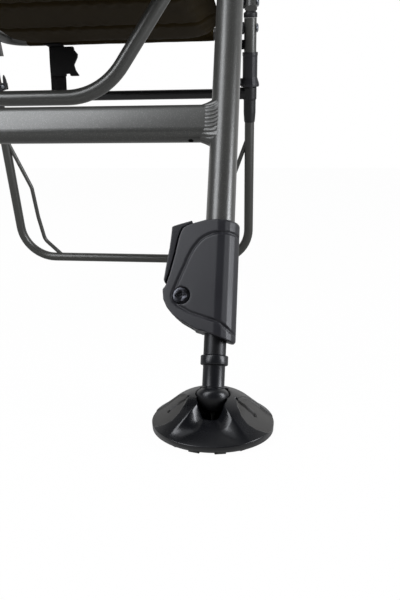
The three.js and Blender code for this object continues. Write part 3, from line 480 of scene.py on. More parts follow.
def new_piece(name, points, faces, matrix=None):
    """A mesh object from points in millimetres in a local frame."""
    mesh = bpy.data.meshes.new(name)
    mesh.from_pydata([Vector(p) * MM for p in points], [], faces)
    if matrix is not None:
        mesh.transform(matrix)
    return add_object(name, mesh)


def row_faces(rows, size, around=True, over=False):
    """Faces between rows of points, closed around each row and over the last one if asked."""
    faces = []
    for j in range(rows if over else rows - 1):
        a, b = j * size, (j + 1) % rows * size
        for i in range(size if around else size - 1):
            k = (i + 1) % size
            faces.append((a + i, a + k, b + k, b + i))
    return faces


def outward(mesh, merge=0.0):
    """Merges doubles and turns every face outwards."""
    shape = bmesh.new()
    shape.from_mesh(mesh)
    if merge:
        bmesh.ops.remove_doubles(shape, verts=shape.verts, dist=merge)
    bmesh.ops.recalc_face_normals(shape, faces=shape.faces)
    shape.to_mesh(mesh)
    shape.free()


def smooth(mesh, angle=SHARP_ANGLE):
    """Smooth shading that keeps the edges sharper than an angle."""
    mesh.shade_smooth()
    mesh.set_sharp_from_angle(angle=angle)


def modify(piece, kind, **settings):
    """Adds a modifier and sets it."""
    modifier = piece.modifiers.new(kind.lower(), kind)
    for key, value in settings.items():
        setattr(modifier, key, value)
    return modifier


def apply_modifiers(piece):
    """Turns the piece with its modifiers into a plain mesh."""
    bpy.context.view_layer.update()
    evaluated = piece.evaluated_get(bpy.context.evaluated_depsgraph_get())
    plain = bpy.data.meshes.new_from_object(evaluated)
    plain.name = piece.name
    piece.modifiers.clear()
    piece.data = plain
    return piece


def fit_out(piece, body, finishes, replaced=()):
    """Gives a finished piece its materials and body, and hides the CAD nodes it stands for."""
    if finishes:
        piece.data.materials.clear()
        for finish in finishes:
            piece.data.materials.append(finish)
    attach(piece, body)
    if replaced:
        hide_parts(*replaced)
    return piece


# %% [markdown]
# Most of the chair is bent tube. A tube follows a rule: a few corner points, a bend radius at
# each, and one round section. Geometry Nodes makes exactly that: the corners are turned to a
# curve, Fillet Curve rounds them to the radius stored at each point, and Curve to Mesh
# sweeps a circle along. The bender's bend radius is then a plain number to change.

# %% Tube on a route, in Geometry Nodes
def tree_sockets(tree, *sockets):
    """Adds a tree's named inputs and its geometry output."""
    for name, kind in sockets:
        tree.interface.new_socket(name=name, in_out="INPUT", socket_type=kind)
    tree.interface.new_socket(name="Geometry", in_out="OUTPUT", socket_type="NodeSocketGeometry")
    return add_node(tree, "NodeGroupInput").outputs


tube_tree = bpy.data.node_groups.new("tube_on_a_route", "GeometryNodeTree")
given = tree_sockets(
    tube_tree, ("Route", "NodeSocketGeometry"), ("Radius", "NodeSocketFloat"), ("Sides", "NodeSocketInt"),
    ("Bend Points", "NodeSocketInt"), ("Finish", "NodeSocketMaterial"),
)
line = add_node(tube_tree, "GeometryNodeMeshToCurve", {"Mesh": given["Route"]})
bend = add_node(tube_tree, "GeometryNodeInputNamedAttribute", {"Name": "bend_radius"}, data_type="FLOAT")
rounded = add_node(tube_tree, "GeometryNodeFilletCurve", {
    "Curve": line.outputs["Curve"], "Count": given["Bend Points"], "Radius": bend.outputs["Attribute"],
    "Limit Radius": True,
}, mode="POLY")
section = add_node(tube_tree, "GeometryNodeCurvePrimitiveCircle", {
    "Resolution": given["Sides"], "Radius": given["Radius"],
})
swept = add_node(tube_tree, "GeometryNodeCurveToMesh", {
    "Curve": rounded.outputs["Curve"], "Profile Curve": section.outputs["Curve"], "Fill Caps": True,
})
whole = add_node(tube_tree, "GeometryNodeRealizeInstances", {"Geometry": swept.outputs["Mesh"]})
painted = add_node(tube_tree, "GeometryNodeSetMaterial", {
    "Geometry": whole.outputs["Geometry"], "Material": given["Finish"],
})
add_node(tube_tree, "NodeGroupOutput", {"Geometry": painted.outputs["Geometry"]})


def run_tree(piece, tree, values):
    """Runs a Geometry Nodes tree on a piece with named inputs and keeps the plain result."""
    modifier = modify(piece, "NODES", node_group=tree)
    for item in tree.interface.items_tree:
        if item.in_out == "INPUT" and item.name in values:
            modifier[item.identifier] = values[item.name]
    return apply_modifiers(piece)


def route_piece(name, corners, matrix, bends=(), closed=False):
    """A chain of corner points in millimetres, with a bend radius stored at each."""
    count = len(corners)
    links = [(i, i + 1) for i in range(count - 1)] + ([(count - 1, 0)] if closed else [])
    mesh = bpy.data.meshes.new(name)
    mesh.from_pydata([matrix @ (Vector(c) * MM) for c in corners], links, [])
    radii = mesh.attributes.new("bend_radius", "FLOAT", "POINT")
    for i, radius in enumerate(list(bends) or [0.0] * count):
        radii.data[i].value = radius * MM
    return add_object(name, mesh)


def bent_tube(name, body, corners, radius, matrix, finish, replaced, bends=(), closed=False, sides=40):
    """A round tube along corners, each rounded to its bend radius."""
    piece = route_piece(name, corners, matrix, bends, closed)
    run_tree(piece, tube_tree, {"Radius": radius * MM, "Sides": sides, "Bend Points": 14, "Finish": finish})
    outward(piece.data, merge=1e-6)
    smooth(piece.data)
    return fit_out(piece, body, (), replaced)


# %% Seat ring, dropped rail and front legs
HALF_SEAT = 215
RING_RADIUS = 11
SEAT_FRONT = -63
SEAT_REAR = SEAT_SPAN + 35
seat_ring = bent_tube(
    "seat_ring", "seat",
    [
        (HALF_SEAT, SEAT_FRONT, 0), (HALF_SEAT, SEAT_REAR, 0),
        (-HALF_SEAT, SEAT_REAR, 0), (-HALF_SEAT, SEAT_FRONT, 0),
    ],
    RING_RADIUS, seat_frame, grey_coat, ["seat_frame"], bends=(60, 34, 34, 60), closed=True,
)

RAIL_SETBACK = 76.6
RAIL_WAY = [(82.7, -163.8), (185, -17.7), (HALF_SEAT, -3)]
rail_corners = [(-x, RAIL_SETBACK, z) for x, z in RAIL_WAY[::-1]]
rail_corners += [(x, RAIL_SETBACK, z) for x, z in RAIL_WAY]
bent_tube(
    "leg_relief_rail", "seat", rail_corners, 9, seat_frame, grey_coat, ["dropped_front_rail"],
    bends=(0, 40, 85, 85, 40, 0),
)

LEG_RADIUS = 12.7
for side in SIDES:
    bent_tube(
        f"front_outer_tube_{side}", "front_legs", [(0, 0, 124.3), (0, 0, 530)], LEG_RADIUS,
        leg_frame[side], grey_coat, [f"front_leg_{side}"], sides=56,
    )
    bent_tube(
        f"telescopic_tube_{side}", f"front_inner_{side}", [(0, 0, 64.4), (0, 0, 310)], 9.5,
        leg_frame[side], charcoal_coat, [f"front_inner_leg_{side}"], sides=48,
    )
print("seat ring and front legs:", len(seat_ring.data.vertices), "points in the ring")

# %% Rear frame tubes
HALF_REAR = 246
bent_tube(
    "ground_u_tube", "ground_frame",
    [(-HALF_REAR, 0, 421), (-HALF_REAR, 0, 0), (HALF_REAR, 0, 0), (HALF_REAR, 0, 421)],
    9, rear_frame, dark_coat, ["ground_bar"], bends=(0, 68, 68, 0),
)
# The rear crossbar takes the near-black coat as painted shade, for the shade it lies in under the seat.
bent_tube(
    "rear_cross_tube", "ground_frame", [(-231.7, 0, 334.4), (231.7, 0, 334.4)], 8.5,
    rear_frame, black_coat_with_painted_shade, ["rear_crossbar"],
)
for side, sign in SIDES.items():
    at_side = shifted(rear_frame, x=sign * HALF_REAR)
    bent_tube(
        f"rear_outer_tube_{side}", "rear_legs", [(0, 0, 356.5), (0, 0, 459)], 11,
        at_side, dark_coat, [f"rear_leg_{side}"],
    )
    bent_tube(
        f"corner_stay_{side}", "ground_frame",
        [(0, 0, 262), (-sign * 39.5, 0, 155), (-sign * 43, 0, 92), (-sign * 50, 0, 40), (-sign * 84, 0, 4)],
        4, at_side, dark_coat, [f"rear_stay_{side}"], bends=(0, 26, 26, 26, 0), sides=20,
    )

# %% Backrest tubes
BACK_TOP = 540
BACK_BEND = 330
BACK_SWEEP = 30
bent_tube(
    "back_hoop", "backrest",
    [
        (-HALF_REAR, 0, -12), (-HALF_REAR, 0, BACK_BEND), (-HALF_REAR, BACK_SWEEP, BACK_TOP),
        (HALF_REAR, BACK_SWEEP, BACK_TOP), (HALF_REAR, 0, BACK_BEND), (HALF_REAR, 0, -12),
    ],
    11, back_frame, grey_coat, ["back_frame"], bends=(0, 90, 90, 90, 90, 0),
)
bent_tube(
    "back_cross_tube", "backrest",
    [(-HALF_REAR, 0, 74), (-206, 27, 74), (206, 27, 74), (HALF_REAR, 0, 74)],
    8, back_frame, grey_coat, ["back_crossbar"], bends=(0, 30, 30, 0),
)

# %% [markdown]
# The bar between the front legs is a flat oval, drawn by rolling a round tube between two
# flats. It is swept here as one section with a small drain hole cut low near its end, and
# its ends run into the leg tubes, where the welds cover the joint.

# %% Flat oval crossbar
OVAL_HEIGHT = 35
OVAL_DEPTH = 20
OVAL_STEPS = 28
CROSSBAR_REACH = 275.3
DRAIN_TURN = math.radians(84)
DRAIN_RADIUS = 2.5
DRAIN_INSET = 30
HALF_FRONT = 245
middle_leg = Matrix.Translation((-HALF_FRONT * MM, 0, 0)) @ leg_frame["right"]
bar_frame = shifted(middle_leg, z=CROSSBAR_REACH)


def oval(depth, height, steps):
    """Points round a flat oval, its long side up."""
    radius = depth / 2
    flat = (height - depth) / 2
    ring = []
    for k in range(2 * steps):
        angle = math.pi * (k + 0.5) / steps
        lift = flat if angle < math.pi else -flat
        ring.append((radius * math.cos(angle), radius * math.sin(angle) + lift))
    return ring


def prism_along_x(name, ring, stations, matrix):
    """A closed bar along X from a ring of (y, z) points, with a loop at each station."""
    size = len(ring)
    points = [(x, y, z) for x in stations for y, z in ring]
    faces = [tuple(range(size))[::-1], tuple((len(stations) - 1) * size + i for i in range(size))]
    faces += row_faces(len(stations), size)
    return new_piece(name, points, faces, matrix)


crossbar = prism_along_x(
    "flat_oval_crossbar", oval(OVAL_DEPTH, OVAL_HEIGHT, OVAL_STEPS), [-243, 243], bar_frame,
)
drill_turns = [2 * math.pi * k / 24 for k in range(24)]
drill_ring = [(DRAIN_RADIUS * math.cos(turn), DRAIN_RADIUS * math.sin(turn)) for turn in drill_turns]
drill = prism_along_x("drain_drill", drill_ring, [-5, 5], None)
round_middle = (OVAL_HEIGHT - OVAL_DEPTH) / 2
drill.data.transform(
    shifted(
        bar_frame, x=HALF_FRONT - DRAIN_INSET, y=-OVAL_DEPTH / 2 * math.cos(DRAIN_TURN),
        z=-round_middle - OVAL_DEPTH / 2 * math.sin(DRAIN_TURN),
    ) @ Matrix.Rotation(DRAIN_TURN, 4, "X") @ Matrix.Rotation(math.pi / 2, 4, "Z")
)
outward(crossbar.data)
outward(drill.data)
modify(crossbar, "BOOLEAN", object=drill, solver="EXACT")
apply_modifiers(crossbar)
bpy.data.objects.remove(drill)
smooth(crossbar.data)
fit_out(crossbar, "front_legs", [grey_coat], ["front_crossbar"])
print("crossbar with its drain hole:", len(crossbar.data.polygons), "faces")

# %% [markdown]
# The clamp housings, levers and tees are mouldings with every edge rounded, because sharp
# edges crack and stick in the mould. The CAD solids have their shape with crisp edges. A
# copy of each one is rebuilt from small voxels and then relaxed a little, which rounds all
# its edges at once by about the voxel's size, inside corners too, as a mould does.

# %% Rounded mouldings
def rounded_moulding(name, node, body, finish, voxel, passes, cutters=()):
    """A rounded copy of a CAD node, with grooves cut first where it has any."""
    mesh = nodes[node].data.copy()
    mesh.name = name
    piece = add_object(name, mesh)
    outward(mesh, merge=1e-6)
    for cutter in cutters:
        modify(piece, "BOOLEAN", object=cutter, solver="EXACT", operation="DIFFERENCE")
    modify(piece, "REMESH", mode="VOXEL", voxel_size=voxel * MM)
    modify(piece, "SMOOTH", factor=0.5, iterations=passes)
    apply_modifiers(piece)
    for cutter in cutters:
        bpy.data.objects.remove(cutter)
    piece.data.shade_smooth()
    return fit_out(piece, body, [finish], [node])


CLAMP_FOOT = 74
CLAMP_RADIUS = 17.3
CLAMP_TAPER = 0.1157
GROOVE_RADIUS = 1.3
groove_places = [
    (17.25, 92.2), (15.6, 92.7), (10, 93.2), (4.7, 93.2), (-3.7, 92.2), (-10.3, 89.9), (-15.3, 86.3),
    (-20.8, 79.2), (-24.7, 71.4), (-27.6, 63.5), (-31.4, 54), (-35, 44.5), (-36.9, 38.5), (-35.7, 33.4),
    (-31.7, 29.8), (-21.4, 24.2), (-8.7, 20), (3.8, 16.3), (13, 9.5), (16.2, 7.4), (17.25, 6.8),
]


def clamp_face(x):
    """How far the clamp's face stands out from the leg's middle: flat cheek, then round sleeve."""
    return CLAMP_RADIUS + CLAMP_TAPER * x if x < 0 else math.sqrt(CLAMP_RADIUS ** 2 - x * x)


def groove_cutter(side, sign, facing):
    """A thin rod along the groove that frames the cheek, on the front or the back face."""
    line = [(sign * x, facing * clamp_face(x), CLAMP_FOOT + height) for x, height in groove_places]
    rod = route_piece(f"groove_cutter_{side}", line, leg_frame[side], bends=[3.5] * len(line))
    run_tree(rod, tube_tree, {
        "Radius": GROOVE_RADIUS * MM, "Sides": 10, "Bend Points": 3, "Finish": clamp_plastic,
    })
    outward(rod.data, merge=1e-6)
    rod.data.materials.clear()
    return rod


for side, sign in SIDES.items():
    housing = rounded_moulding(
        f"leg_clamp_{side}", f"front_clamp_housing_{side}", "front_legs",
        clamp_plastic, 0.67, 4, [groove_cutter(side, sign, facing) for facing in (-1, 1)],
    )
    rounded_moulding(
        f"leg_clamp_lever_{side}", f"front_clamp_lever_{side}", f"front_lever_{side}",
        clamp_plastic, 0.5, 4,
    )
    rounded_moulding(
        f"u_clamp_{side}", f"rear_clamp_{side}", "rear_legs", clamp_plastic, 0.6, 3,
    )
    rounded_moulding(
        f"u_clamp_lever_{side}", f"rear_clamp_lever_{side}", f"rear_lever_{side}",
        clamp_plastic, 0.4, 3,
    )
    rounded_moulding(
        f"crossbar_tee_{side}", f"rear_tee_{side}", "ground_frame", cap_plastic, 0.7, 4,
    )
print("leg clamp:", len(housing.data.polygons), "faces")

# %% [markdown]
# Pressed plates, plugs, washers and rivets are small and hard, so they only need their edges
# broken. A copy of each CAD solid is merged and gets a narrow bevel, and its finish comes
# from the piece it is.

# %% Pressed and turned small parts
def edged_copy(name, node, body, slot, finish, width):
    """A merged copy of a CAD node with a narrow bevel on its sharp edges."""
    mesh = nodes[node].data.copy()
    mesh.name = name
    outward(mesh, merge=1e-6)
    piece = add_object(name, mesh)
    modify(piece, "DECIMATE", decimate_type="DISSOLVE", angle_limit=math.radians(1))
    modify(
        piece, "BEVEL", width=width * MM, segments=2, limit_method="ANGLE", angle_limit=math.radians(40),
    )
    apply_modifiers(piece)
    smooth(piece.data, math.radians(30))
    return fit_out(piece, body, [finish], [node])


small_parts = [
    ("front_plate", "front_hinge_plate", "seat", "dark_steel", black_coat_with_painted_shade, 0.5),
    ("rear_plate", "rear_hinge_plate", "seat", "dark_steel", black_coat_with_painted_shade, 0.5),
]
for joint in ("front", "rear", "back"):
    small_parts.append((f"{joint}_washer", f"{joint}_pivot_washer", "seat", "black_nylon", cap_plastic, 0.3))
    small_parts.append((f"{joint}_rivet", f"{joint}_pivot_rivet", "seat", "zinc_steel", zinc, 0.3))
small_parts += [
    ("front_tube_plug", "front_leg_cap", "front_legs", "clamp_plastic", cap_plastic, 0.6),
    ("rear_tube_plug", "rear_leg_cap", "rear_legs", "clamp_plastic", cap_plastic, 0.6),
    ("clamp_screw", "front_clamp_screw", "front_legs", "dark_steel", black_oxide, 0.3),
    ("u_clamp_pin", "rear_clamp_pin", "rear_legs", "zinc_steel", zinc, 0.2),
]
for side in SIDES:
    for name, node, *fit in small_parts:
        edged_copy(f"{name}_{side}", f"{node}_{side}", *fit)
print("small parts:", len(small_parts), "kinds, one of each at each side")

# %% [markdown]
# The stem is a turned-looking moulding: a collar that stops it in the tube, a plain neck
# with a faint step, and a ball. One outline spun about the leg's axis gives it, with small
# radii drawn into the outline, because those catch the light.

# %% Turned outline, spun about the local Z
SPIN_STEPS = 64


def spun(name, outline, matrix, steps=SPIN_STEPS):
    """A closed body of revolution. An outline point on the axis becomes one pole."""
    points, faces, rings = [], [], []
    for radius, height in outline:
        if radius == 0:
            rings.append([len(points)])
            points.append((0, 0, height))
            continue
        rings.append(list(range(len(points), len(points) + steps)))
        for k in range(steps):
            angle = 2 * math.pi * k / steps
            points.append((radius * math.cos(angle), radius * math.sin(angle), height))
    for low, high in zip(rings, rings[1:]):
        for k in range(steps):
            n = (k + 1) % steps
            corners = [low[k % len(low)], low[n % len(low)], high[n % len(high)], high[k % len(high)]]
            face = tuple(dict.fromkeys(corners))
            if len(face) > 2:
                faces.append(face)
    piece = new_piece(name, points, faces, matrix)
    outward(piece.data)
    return piece


def arc(radius, first, turn, steps):
    """Points of a round outline, from one angle on in degrees, as radius and height."""
    angles = [math.radians(first + turn * k / steps) for k in range(steps + 1)]
    return [(radius * math.cos(angle), radius * math.sin(angle)) for angle in angles]


BALL_RADIUS = 13.55
LINER_INNER = 13.6
LINER_OUTER = 13.8
ball_outline = [(radius, BALL_REACH + height) for radius, height in arc(BALL_RADIUS, -90, 94, 24)]
stem_outline = [(0, ball_outline[0][1])] + ball_outline[1:] + [
    (13.3, 32.8), (12.9, 33.7), (12.25, 34.6), (11.3, 35.5), (10.1, 36.3), (9.55, 36.7), (9.5, 37.0),
    (9.8, 37.2), (9.85, 37.6), (9.55, 37.9), (9.3, 38.1), (9.3, 54.9), (9.5, 55.6), (10.9, 55.9),
    (11.4, 56.3), (11.6, 56.9), (11.6, 63.2), (11.3, 63.8), (10.6, 64.1), (0, 64.1),
]
liner_outline = arc(LINER_OUTER, -88, 96, 20) + arc(LINER_INNER, -88, 96, 20)[::-1]
for side in SIDES:
    stem = spun(f"ball_stem_{side}", stem_outline, leg_frame[side])
    smooth(stem.data, math.radians(50))
    fit_out(stem, f"front_inner_{side}", [stem_plastic], [f"foot_stem_{side}"])
    ball = Vector(joints[f"foot_pitch_{side}"]["pos_m"])
    liner = spun(f"ball_liner_{side}", liner_outline + liner_outline[:1], Matrix.Translation(ball))
    outward(liner.data, merge=1e-6)
    smooth(liner.data, math.radians(50))
    fit_out(liner, f"foot_joint_{side}", [cap_plastic], [f"foot_liner_{side}"])
print("stem:", len(stem.data.polygons), "faces")

# %% [markdown]
# The mud foot is the piece that the photograph looks at most. It is a low dome with a wide
# scoop cut in its front, down to a flared skirt round the ball, and on each shoulder a
# thumb-shaped sunk panel with a deep dimple at its tip. Seen from above it has one height at
# each point, so it is made as a height field on rings round the ball: the dome comes first,
# and each feature is a plain rule that lowers it.

# %% Rules for the foot's height, in millimetres from the ball's middle
FOOT_RADIUS = 49.6
BALL_HEIGHT = Vector(joints["foot_pitch_right"]["pos_m"]).z / MM
SOCKET_RADIUS = 13.9
dome_radii = np.array([0, 14, 18, 22, 26, 30, 34, 38, 42, 46, 50.2, 54])
dome_heights = np.array([30.2, 30.0, 29.4, 28.3, 26.7, 24.6, 21.3, 17.8, 14.4, 11.0, 8.0, 6.0])
panel_heights = np.array([30.0, 29.4, 28.4, 27.0, 25.0, 22.7, 19.0, 15.4, 12.1, 9.2, 7.0, 5.4])
skirt_radii = np.array([0, 16, 22, 28, 34, 40, 45, 48, 49.5, 52])
skirt_heights = np.array([17.2, 17.0, 16.0, 14.7, 13.2, 11.4, 9.8, 8.6, 8.0, 6.6])
scoop_side = [
    (10.4, 4), (10.2, -12), (11, -19), (14, -23.8), (17.9, -28.2), (23.1, -31.8), (29.9, -36),
    (45, -46), (45, -58),
]
scoop_edge = np.array(scoop_side + [(-x, y) for x, y in reversed(scoop_side)])
panel_edge = np.array([
    (19.7, -5.7), (21, -15), (24.8, -22.3), (30.2, -25.5), (36.8, -25.1), (46, -21.5),
    (54, -12), (56, 0), (51, 10), (39, 13.5), (30, 9), (23.5, 1.5),
])
slit_line = np.array([(19.6, -4.8), (24, -7.2), (28.8, -8.6), (34, -9)])
SLIT_HALF = 1.3
SLIT_WIDENS = 1.2
SLIT_DEPTH = 3.6
wall_run_radii = (15, 34)
wall_runs = (4.5, 11)
SLOT_REACH = 10.3
SLOT_HALF = 9.5
SLOT_FLOOR = 5.0
SLOT_STEEPNESS = 9.0
BACK_NOTCH_HALF = 12
BACK_NOTCH_START = 8.0
BACK_NOTCH_FLOOR = 22.3
BACK_NOTCH_SLOPE = 1.376
SCOOP_WALL_POWER = 1.9
SKIRT_SLOPE = 1.9


def eased(radii, heights, r, reach=2.2):
    """A profile's height at each radius, its corners rounded over a few millimetres."""
    steps = np.linspace(-reach, reach, 9)
    return np.mean([np.interp(np.abs(r + step), radii, heights) for step in steps], axis=0)


def run_distance(x, y, start, end):
    """Distance to a straight run, and how far along it the nearest point lies, from 0 to 1."""
    dx, dy = end[0] - start[0], end[1] - start[1]
    along = np.clip(((x - start[0]) * dx + (y - start[1]) * dy) / (dx * dx + dy * dy), 0, 1)
    return np.hypot(x - start[0] - along * dx, y - start[1] - along * dy), along


def edge_distance(x, y, edge):
    """Distance to a closed outline: less than zero inside it."""
    nearest = np.full(x.shape, 1e9)
    inside = np.zeros(x.shape, bool)
    for start, end in zip(edge, np.roll(edge, -1, axis=0)):
        nearest = np.minimum(nearest, run_distance(x, y, start, end)[0])
        rise = end[1] - start[1]
        crosses = (start[1] > y) != (end[1] > y)
        inside ^= crosses & (x < start[0] + (y - start[1]) * (end[0] - start[0]) / (rise if rise else 1e-9))
    return np.where(inside, -nearest, nearest)


def soft_low(a, b, blend):
    """The lower of two heights, eased where they meet."""
    h = np.clip(0.5 + 0.5 * (b - a) / blend, 0, 1)
    return b * (1 - h) + a * h - blend * h * (1 - h)


def smooth_step(value, low, high):
    """A share that eases from 0 at the low value to 1 at the high one."""
    t = np.clip((value - low) / (high - low), 0, 1)
    return t * t * (3 - 2 * t)


def slit_depth(x, y):
    """The slit runs out from the panel's tip and grows wider as it goes."""
    depth = np.zeros(x.shape)
    runs = len(slit_line) - 1
    for k in range(runs):
        away, along = run_distance(x, y, slit_line[k], slit_line[k + 1])
        half = SLIT_HALF + SLIT_WIDENS * (k + along) / runs
        depth = np.maximum(depth, SLIT_DEPTH * (1 - smooth_step(away / half, 0.45, 1.2)))
    return depth


def foot_height(x, y):
    """The foot's top at each point."""
    r = np.hypot(x, y)
    dome = eased(dome_radii, dome_heights, r)
    reach = edge_distance(np.abs(x), y, panel_edge)
    panel = eased(dome_radii, panel_heights, r)
    dome = dome + (panel - dome) * (1 - smooth_step(reach, -1.7, 0.1)) - slit_depth(np.abs(x), y)
    skirt = eased(skirt_radii, skirt_heights, r)
    run = np.interp(r, wall_run_radii, wall_runs)
    rise = soft_low(edge_distance(x, y, scoop_edge) / run + 1, np.ones(x.shape), 0.08)
    height = skirt + (dome - skirt) * np.maximum(rise, 0) ** SCOOP_WALL_POWER
    away = np.hypot(x, np.minimum(y + SLOT_REACH, 0))
    slot = np.where(y < 0, SLOT_FLOOR + SLOT_STEEPNESS * np.maximum(away - SLOT_HALF, 0), 99)
    height = soft_low(height, slot, 2.2)
    height = soft_low(height, BALL_HEIGHT + SKIRT_SLOPE * (r - SOCKET_RADIUS), 0.5)
    tilt = BACK_NOTCH_FLOOR + BACK_NOTCH_SLOPE * (y - BACK_NOTCH_START)
    height = np.where((y > 0) & (np.abs(x) < BACK_NOTCH_HALF), np.minimum(height, tilt), height)
    bowl = BALL_HEIGHT - np.sqrt(np.maximum(SOCKET_RADIUS ** 2 - r * r, 0))
    return np.where(r < SOCKET_RADIUS, np.minimum(height, bowl), height)


# %% Build the foot
FOOT_RINGS = 130
BOWL_RINGS = 16
FOOT_STEPS = 380
RIM_WIDER_FROM = 38
SATIN_INSET = 0.3
SATIN_FLOOR = 6
# Below the rim: radius in front, how much wider at the sides, share of the rim's height, height
rim_loops = (
    (49.8, 1.0, 1, -0.25), (49.8, 1.0, 1, -0.6), (46.4, 4.2, 0, 1.5), (45.9, 4.2, 0, 1.1),
    (44.2, 4.2, 0, 1.1), (43.9, 4.2, 0, 0.9), (43.9, 4.2, 0, 0.3), (43.6, 4.2, 0, 0.0),
)
ring_radii = np.unique(np.concatenate([
    np.linspace(0.4, SOCKET_RADIUS - 0.05, BOWL_RINGS),
    np.linspace(SOCKET_RADIUS + 0.05, FOOT_RADIUS, FOOT_RINGS - BOWL_RINGS),
]))
angles = np.linspace(0, 2 * math.pi, FOOT_STEPS, endpoint=False)


def mud_foot(name, centre):
    """The foot's top as a height field, with its rim, step and sole. The rim is a little wider
    at the sides than in front, and its band leans in below, most of all in front."""
    rr, aa = np.meshgrid(ring_radii, angles, indexing="ij")
    sideways = np.cos(angles) ** 2
    toward_rim = np.maximum((rr - RIM_WIDER_FROM) / (FOOT_RADIUS - RIM_WIDER_FROM), 0)
    rr = rr + np.cos(aa) ** 2 * toward_rim
    x, y = rr * np.cos(aa), rr * np.sin(aa)
    z = foot_height(x, y)
    loops = [np.stack([x[i], y[i], z[i]], axis=1) for i in range(len(ring_radii))]
    edge_height = z[-1]
    for radius, wider, share, height in rim_loops:
        round_radius = radius + wider * sideways
        loops.append(np.stack([
            round_radius * np.cos(angles), round_radius * np.sin(angles), edge_height * share + height,
        ], axis=1))
    middle = foot_height(np.zeros(1), np.zeros(1))[0]
    points = [tuple(p) for loop in loops for p in loop] + [(0, 0, middle), (0, 0, 0)]
    faces = []
    last = (len(loops) - 1) * FOOT_STEPS
    for k in range(FOOT_STEPS):
        n = (k + 1) % FOOT_STEPS
        faces.append((len(points) - 2, k, n))
        faces.append((len(points) - 1, last + n, last + k))
        for j in range(len(loops) - 1):
            a, b = j * FOOT_STEPS, (j + 1) * FOOT_STEPS
            faces.append((a + k, b + k, b + n, a + n))
    piece = new_piece(name, points, faces, Matrix.Translation(centre))
    outward(piece.data)
    smooth(piece.data, math.radians(48))
    return piece


for side in SIDES:
    ball = Vector(joints[f"foot_pitch_{side}"]["pos_m"])
    centre = Vector((ball.x, ball.y, 0))
    foot = mud_foot(f"mud_foot_moulding_{side}", centre)
    fit_out(foot, f"foot_{side}", [foot_gloss, foot_satin], [f"mud_foot_{side}"])
    middles = np.array([face.center for face in foot.data.polygons]) / MM - np.array(centre) / MM
    satin = edge_distance(np.abs(middles[:, 0]), middles[:, 1], panel_edge) < -SATIN_INSET
    satin &= middles[:, 2] > SATIN_FLOOR
    foot.data.polygons.foreach_set("material_index", satin.astype(np.int32))
print("foot:", len(foot.data.polygons), "faces,", int(satin.sum()), "of them satin")

# %% [markdown]
# A mud foot of this kind has short lugs under its rim that bite into the bank. They repeat
# round a circle, so Geometry Nodes sets them: points on a circle, one small block on each,
# turned to face outwards, made real and given the foot's own plastic.

# %% Rim lugs, in Geometry Nodes
LUG_COUNT = 14
LUG_RING = 44.6
LUG_SIZE = (9, 3.4, 1.5)
LUG_HEIGHT = 0.76
LUG_EDGE = 0.4
lug_tree = bpy.data.node_groups.new("lugs_round_a_rim", "GeometryNodeTree")
given = tree_sockets(
    lug_tree, ("Foot", "NodeSocketGeometry"), ("Rim Radius", "NodeSocketFloat"), ("Lugs", "NodeSocketInt"),
    ("Lug Size", "NodeSocketVector"), ("Finish", "NodeSocketMaterial"),
)
rim = add_node(lug_tree, "GeometryNodeCurvePrimitiveCircle", {
    "Resolution": given["Lugs"], "Radius": given["Rim Radius"],
})
lug = add_node(lug_tree, "GeometryNodeMeshCube", {"Size": given["Lug Size"]})
tangent = add_node(lug_tree, "GeometryNodeInputTangent")
turn = add_node(lug_tree, "FunctionNodeAlignRotationToVector", {
    "Vector": tangent.outputs["Tangent"],
}, axis="X")
turned = add_node(lug_tree, "GeometryNodeInstanceOnPoints", {
    "Points": rim.outputs["Curve"], "Instance": lug.outputs["Mesh"], "Rotation": turn.outputs["Rotation"],
})
whole = add_node(lug_tree, "GeometryNodeRealizeInstances", {"Geometry": turned.outputs["Instances"]})
painted = add_node(lug_tree, "GeometryNodeSetMaterial", {
    "Geometry": whole.outputs["Geometry"], "Material": given["Finish"],
})
add_node(lug_tree, "NodeGroupOutput", {"Geometry": painted.outputs["Geometry"]})

for side in SIDES:
    ball = Vector(joints[f"foot_pitch_{side}"]["pos_m"])
    lugs = new_piece(f"rim_lugs_{side}", [(0, 0, 0)], [])
    run_tree(lugs, lug_tree, {
        "Rim Radius": LUG_RING * MM, "Lugs": LUG_COUNT, "Lug Size": tuple(edge * MM for edge in LUG_SIZE),
        "Finish": foot_satin,
    })
    lugs.data.transform(Matrix.Translation((ball.x, ball.y, LUG_HEIGHT * MM)))
    modify(lugs, "BEVEL", width=LUG_EDGE * MM, segments=2)
    apply_modifiers(lugs)
    smooth(lugs.data, math.radians(30))
    fit_out(lugs, f"foot_{side}", ())
print("lugs:", LUG_COUNT, "under each foot")

# %% [markdown]
# The seat is a padded cover sewn from two cloths with foam between them. Such a pad has no
# flat faces: it is crowned above and below and it pulls in along its sides. It could be drawn
# by hand, but cloth filled by pressure finds the right swell by itself. So a slim pad is
# drawn first, rebuilt from small voxels and inflated as cloth, with a limit on how far each
# point may go. Its rim is held, because the rim is sewn.

# %% Slim pads that swell to their shape
PAD_START = 0.66
PAD_VOXEL = 6 * MM
SWELL_FRAMES = 20
SWELL_LIMIT = 9 * MM
RIM_SEAM = 2 * MM
RIM_HOLD = 14 * MM
PAD_COLUMNS = 40
PAD_ROWS = 56


def pad_outline(pad, u, v):
    """Where a pad's point lies in plan, in millimetres, for shares from -1 to 1."""
    x = u * (pad["width"] / 2 - pad["inset"] * v ** 8 - 2 * (1 - v * v))
    y = v * (pad["depth"] / 2 - pad["inset"] * u ** 8 - 2 * (1 - u * u))
    return x, y


def crown(u, v):
    """How full the pad is: one in the middle and zero at the rim."""
    return max(0.0, (1 - abs(u) ** 4) * (1 - abs(v) ** 4)) ** 0.5


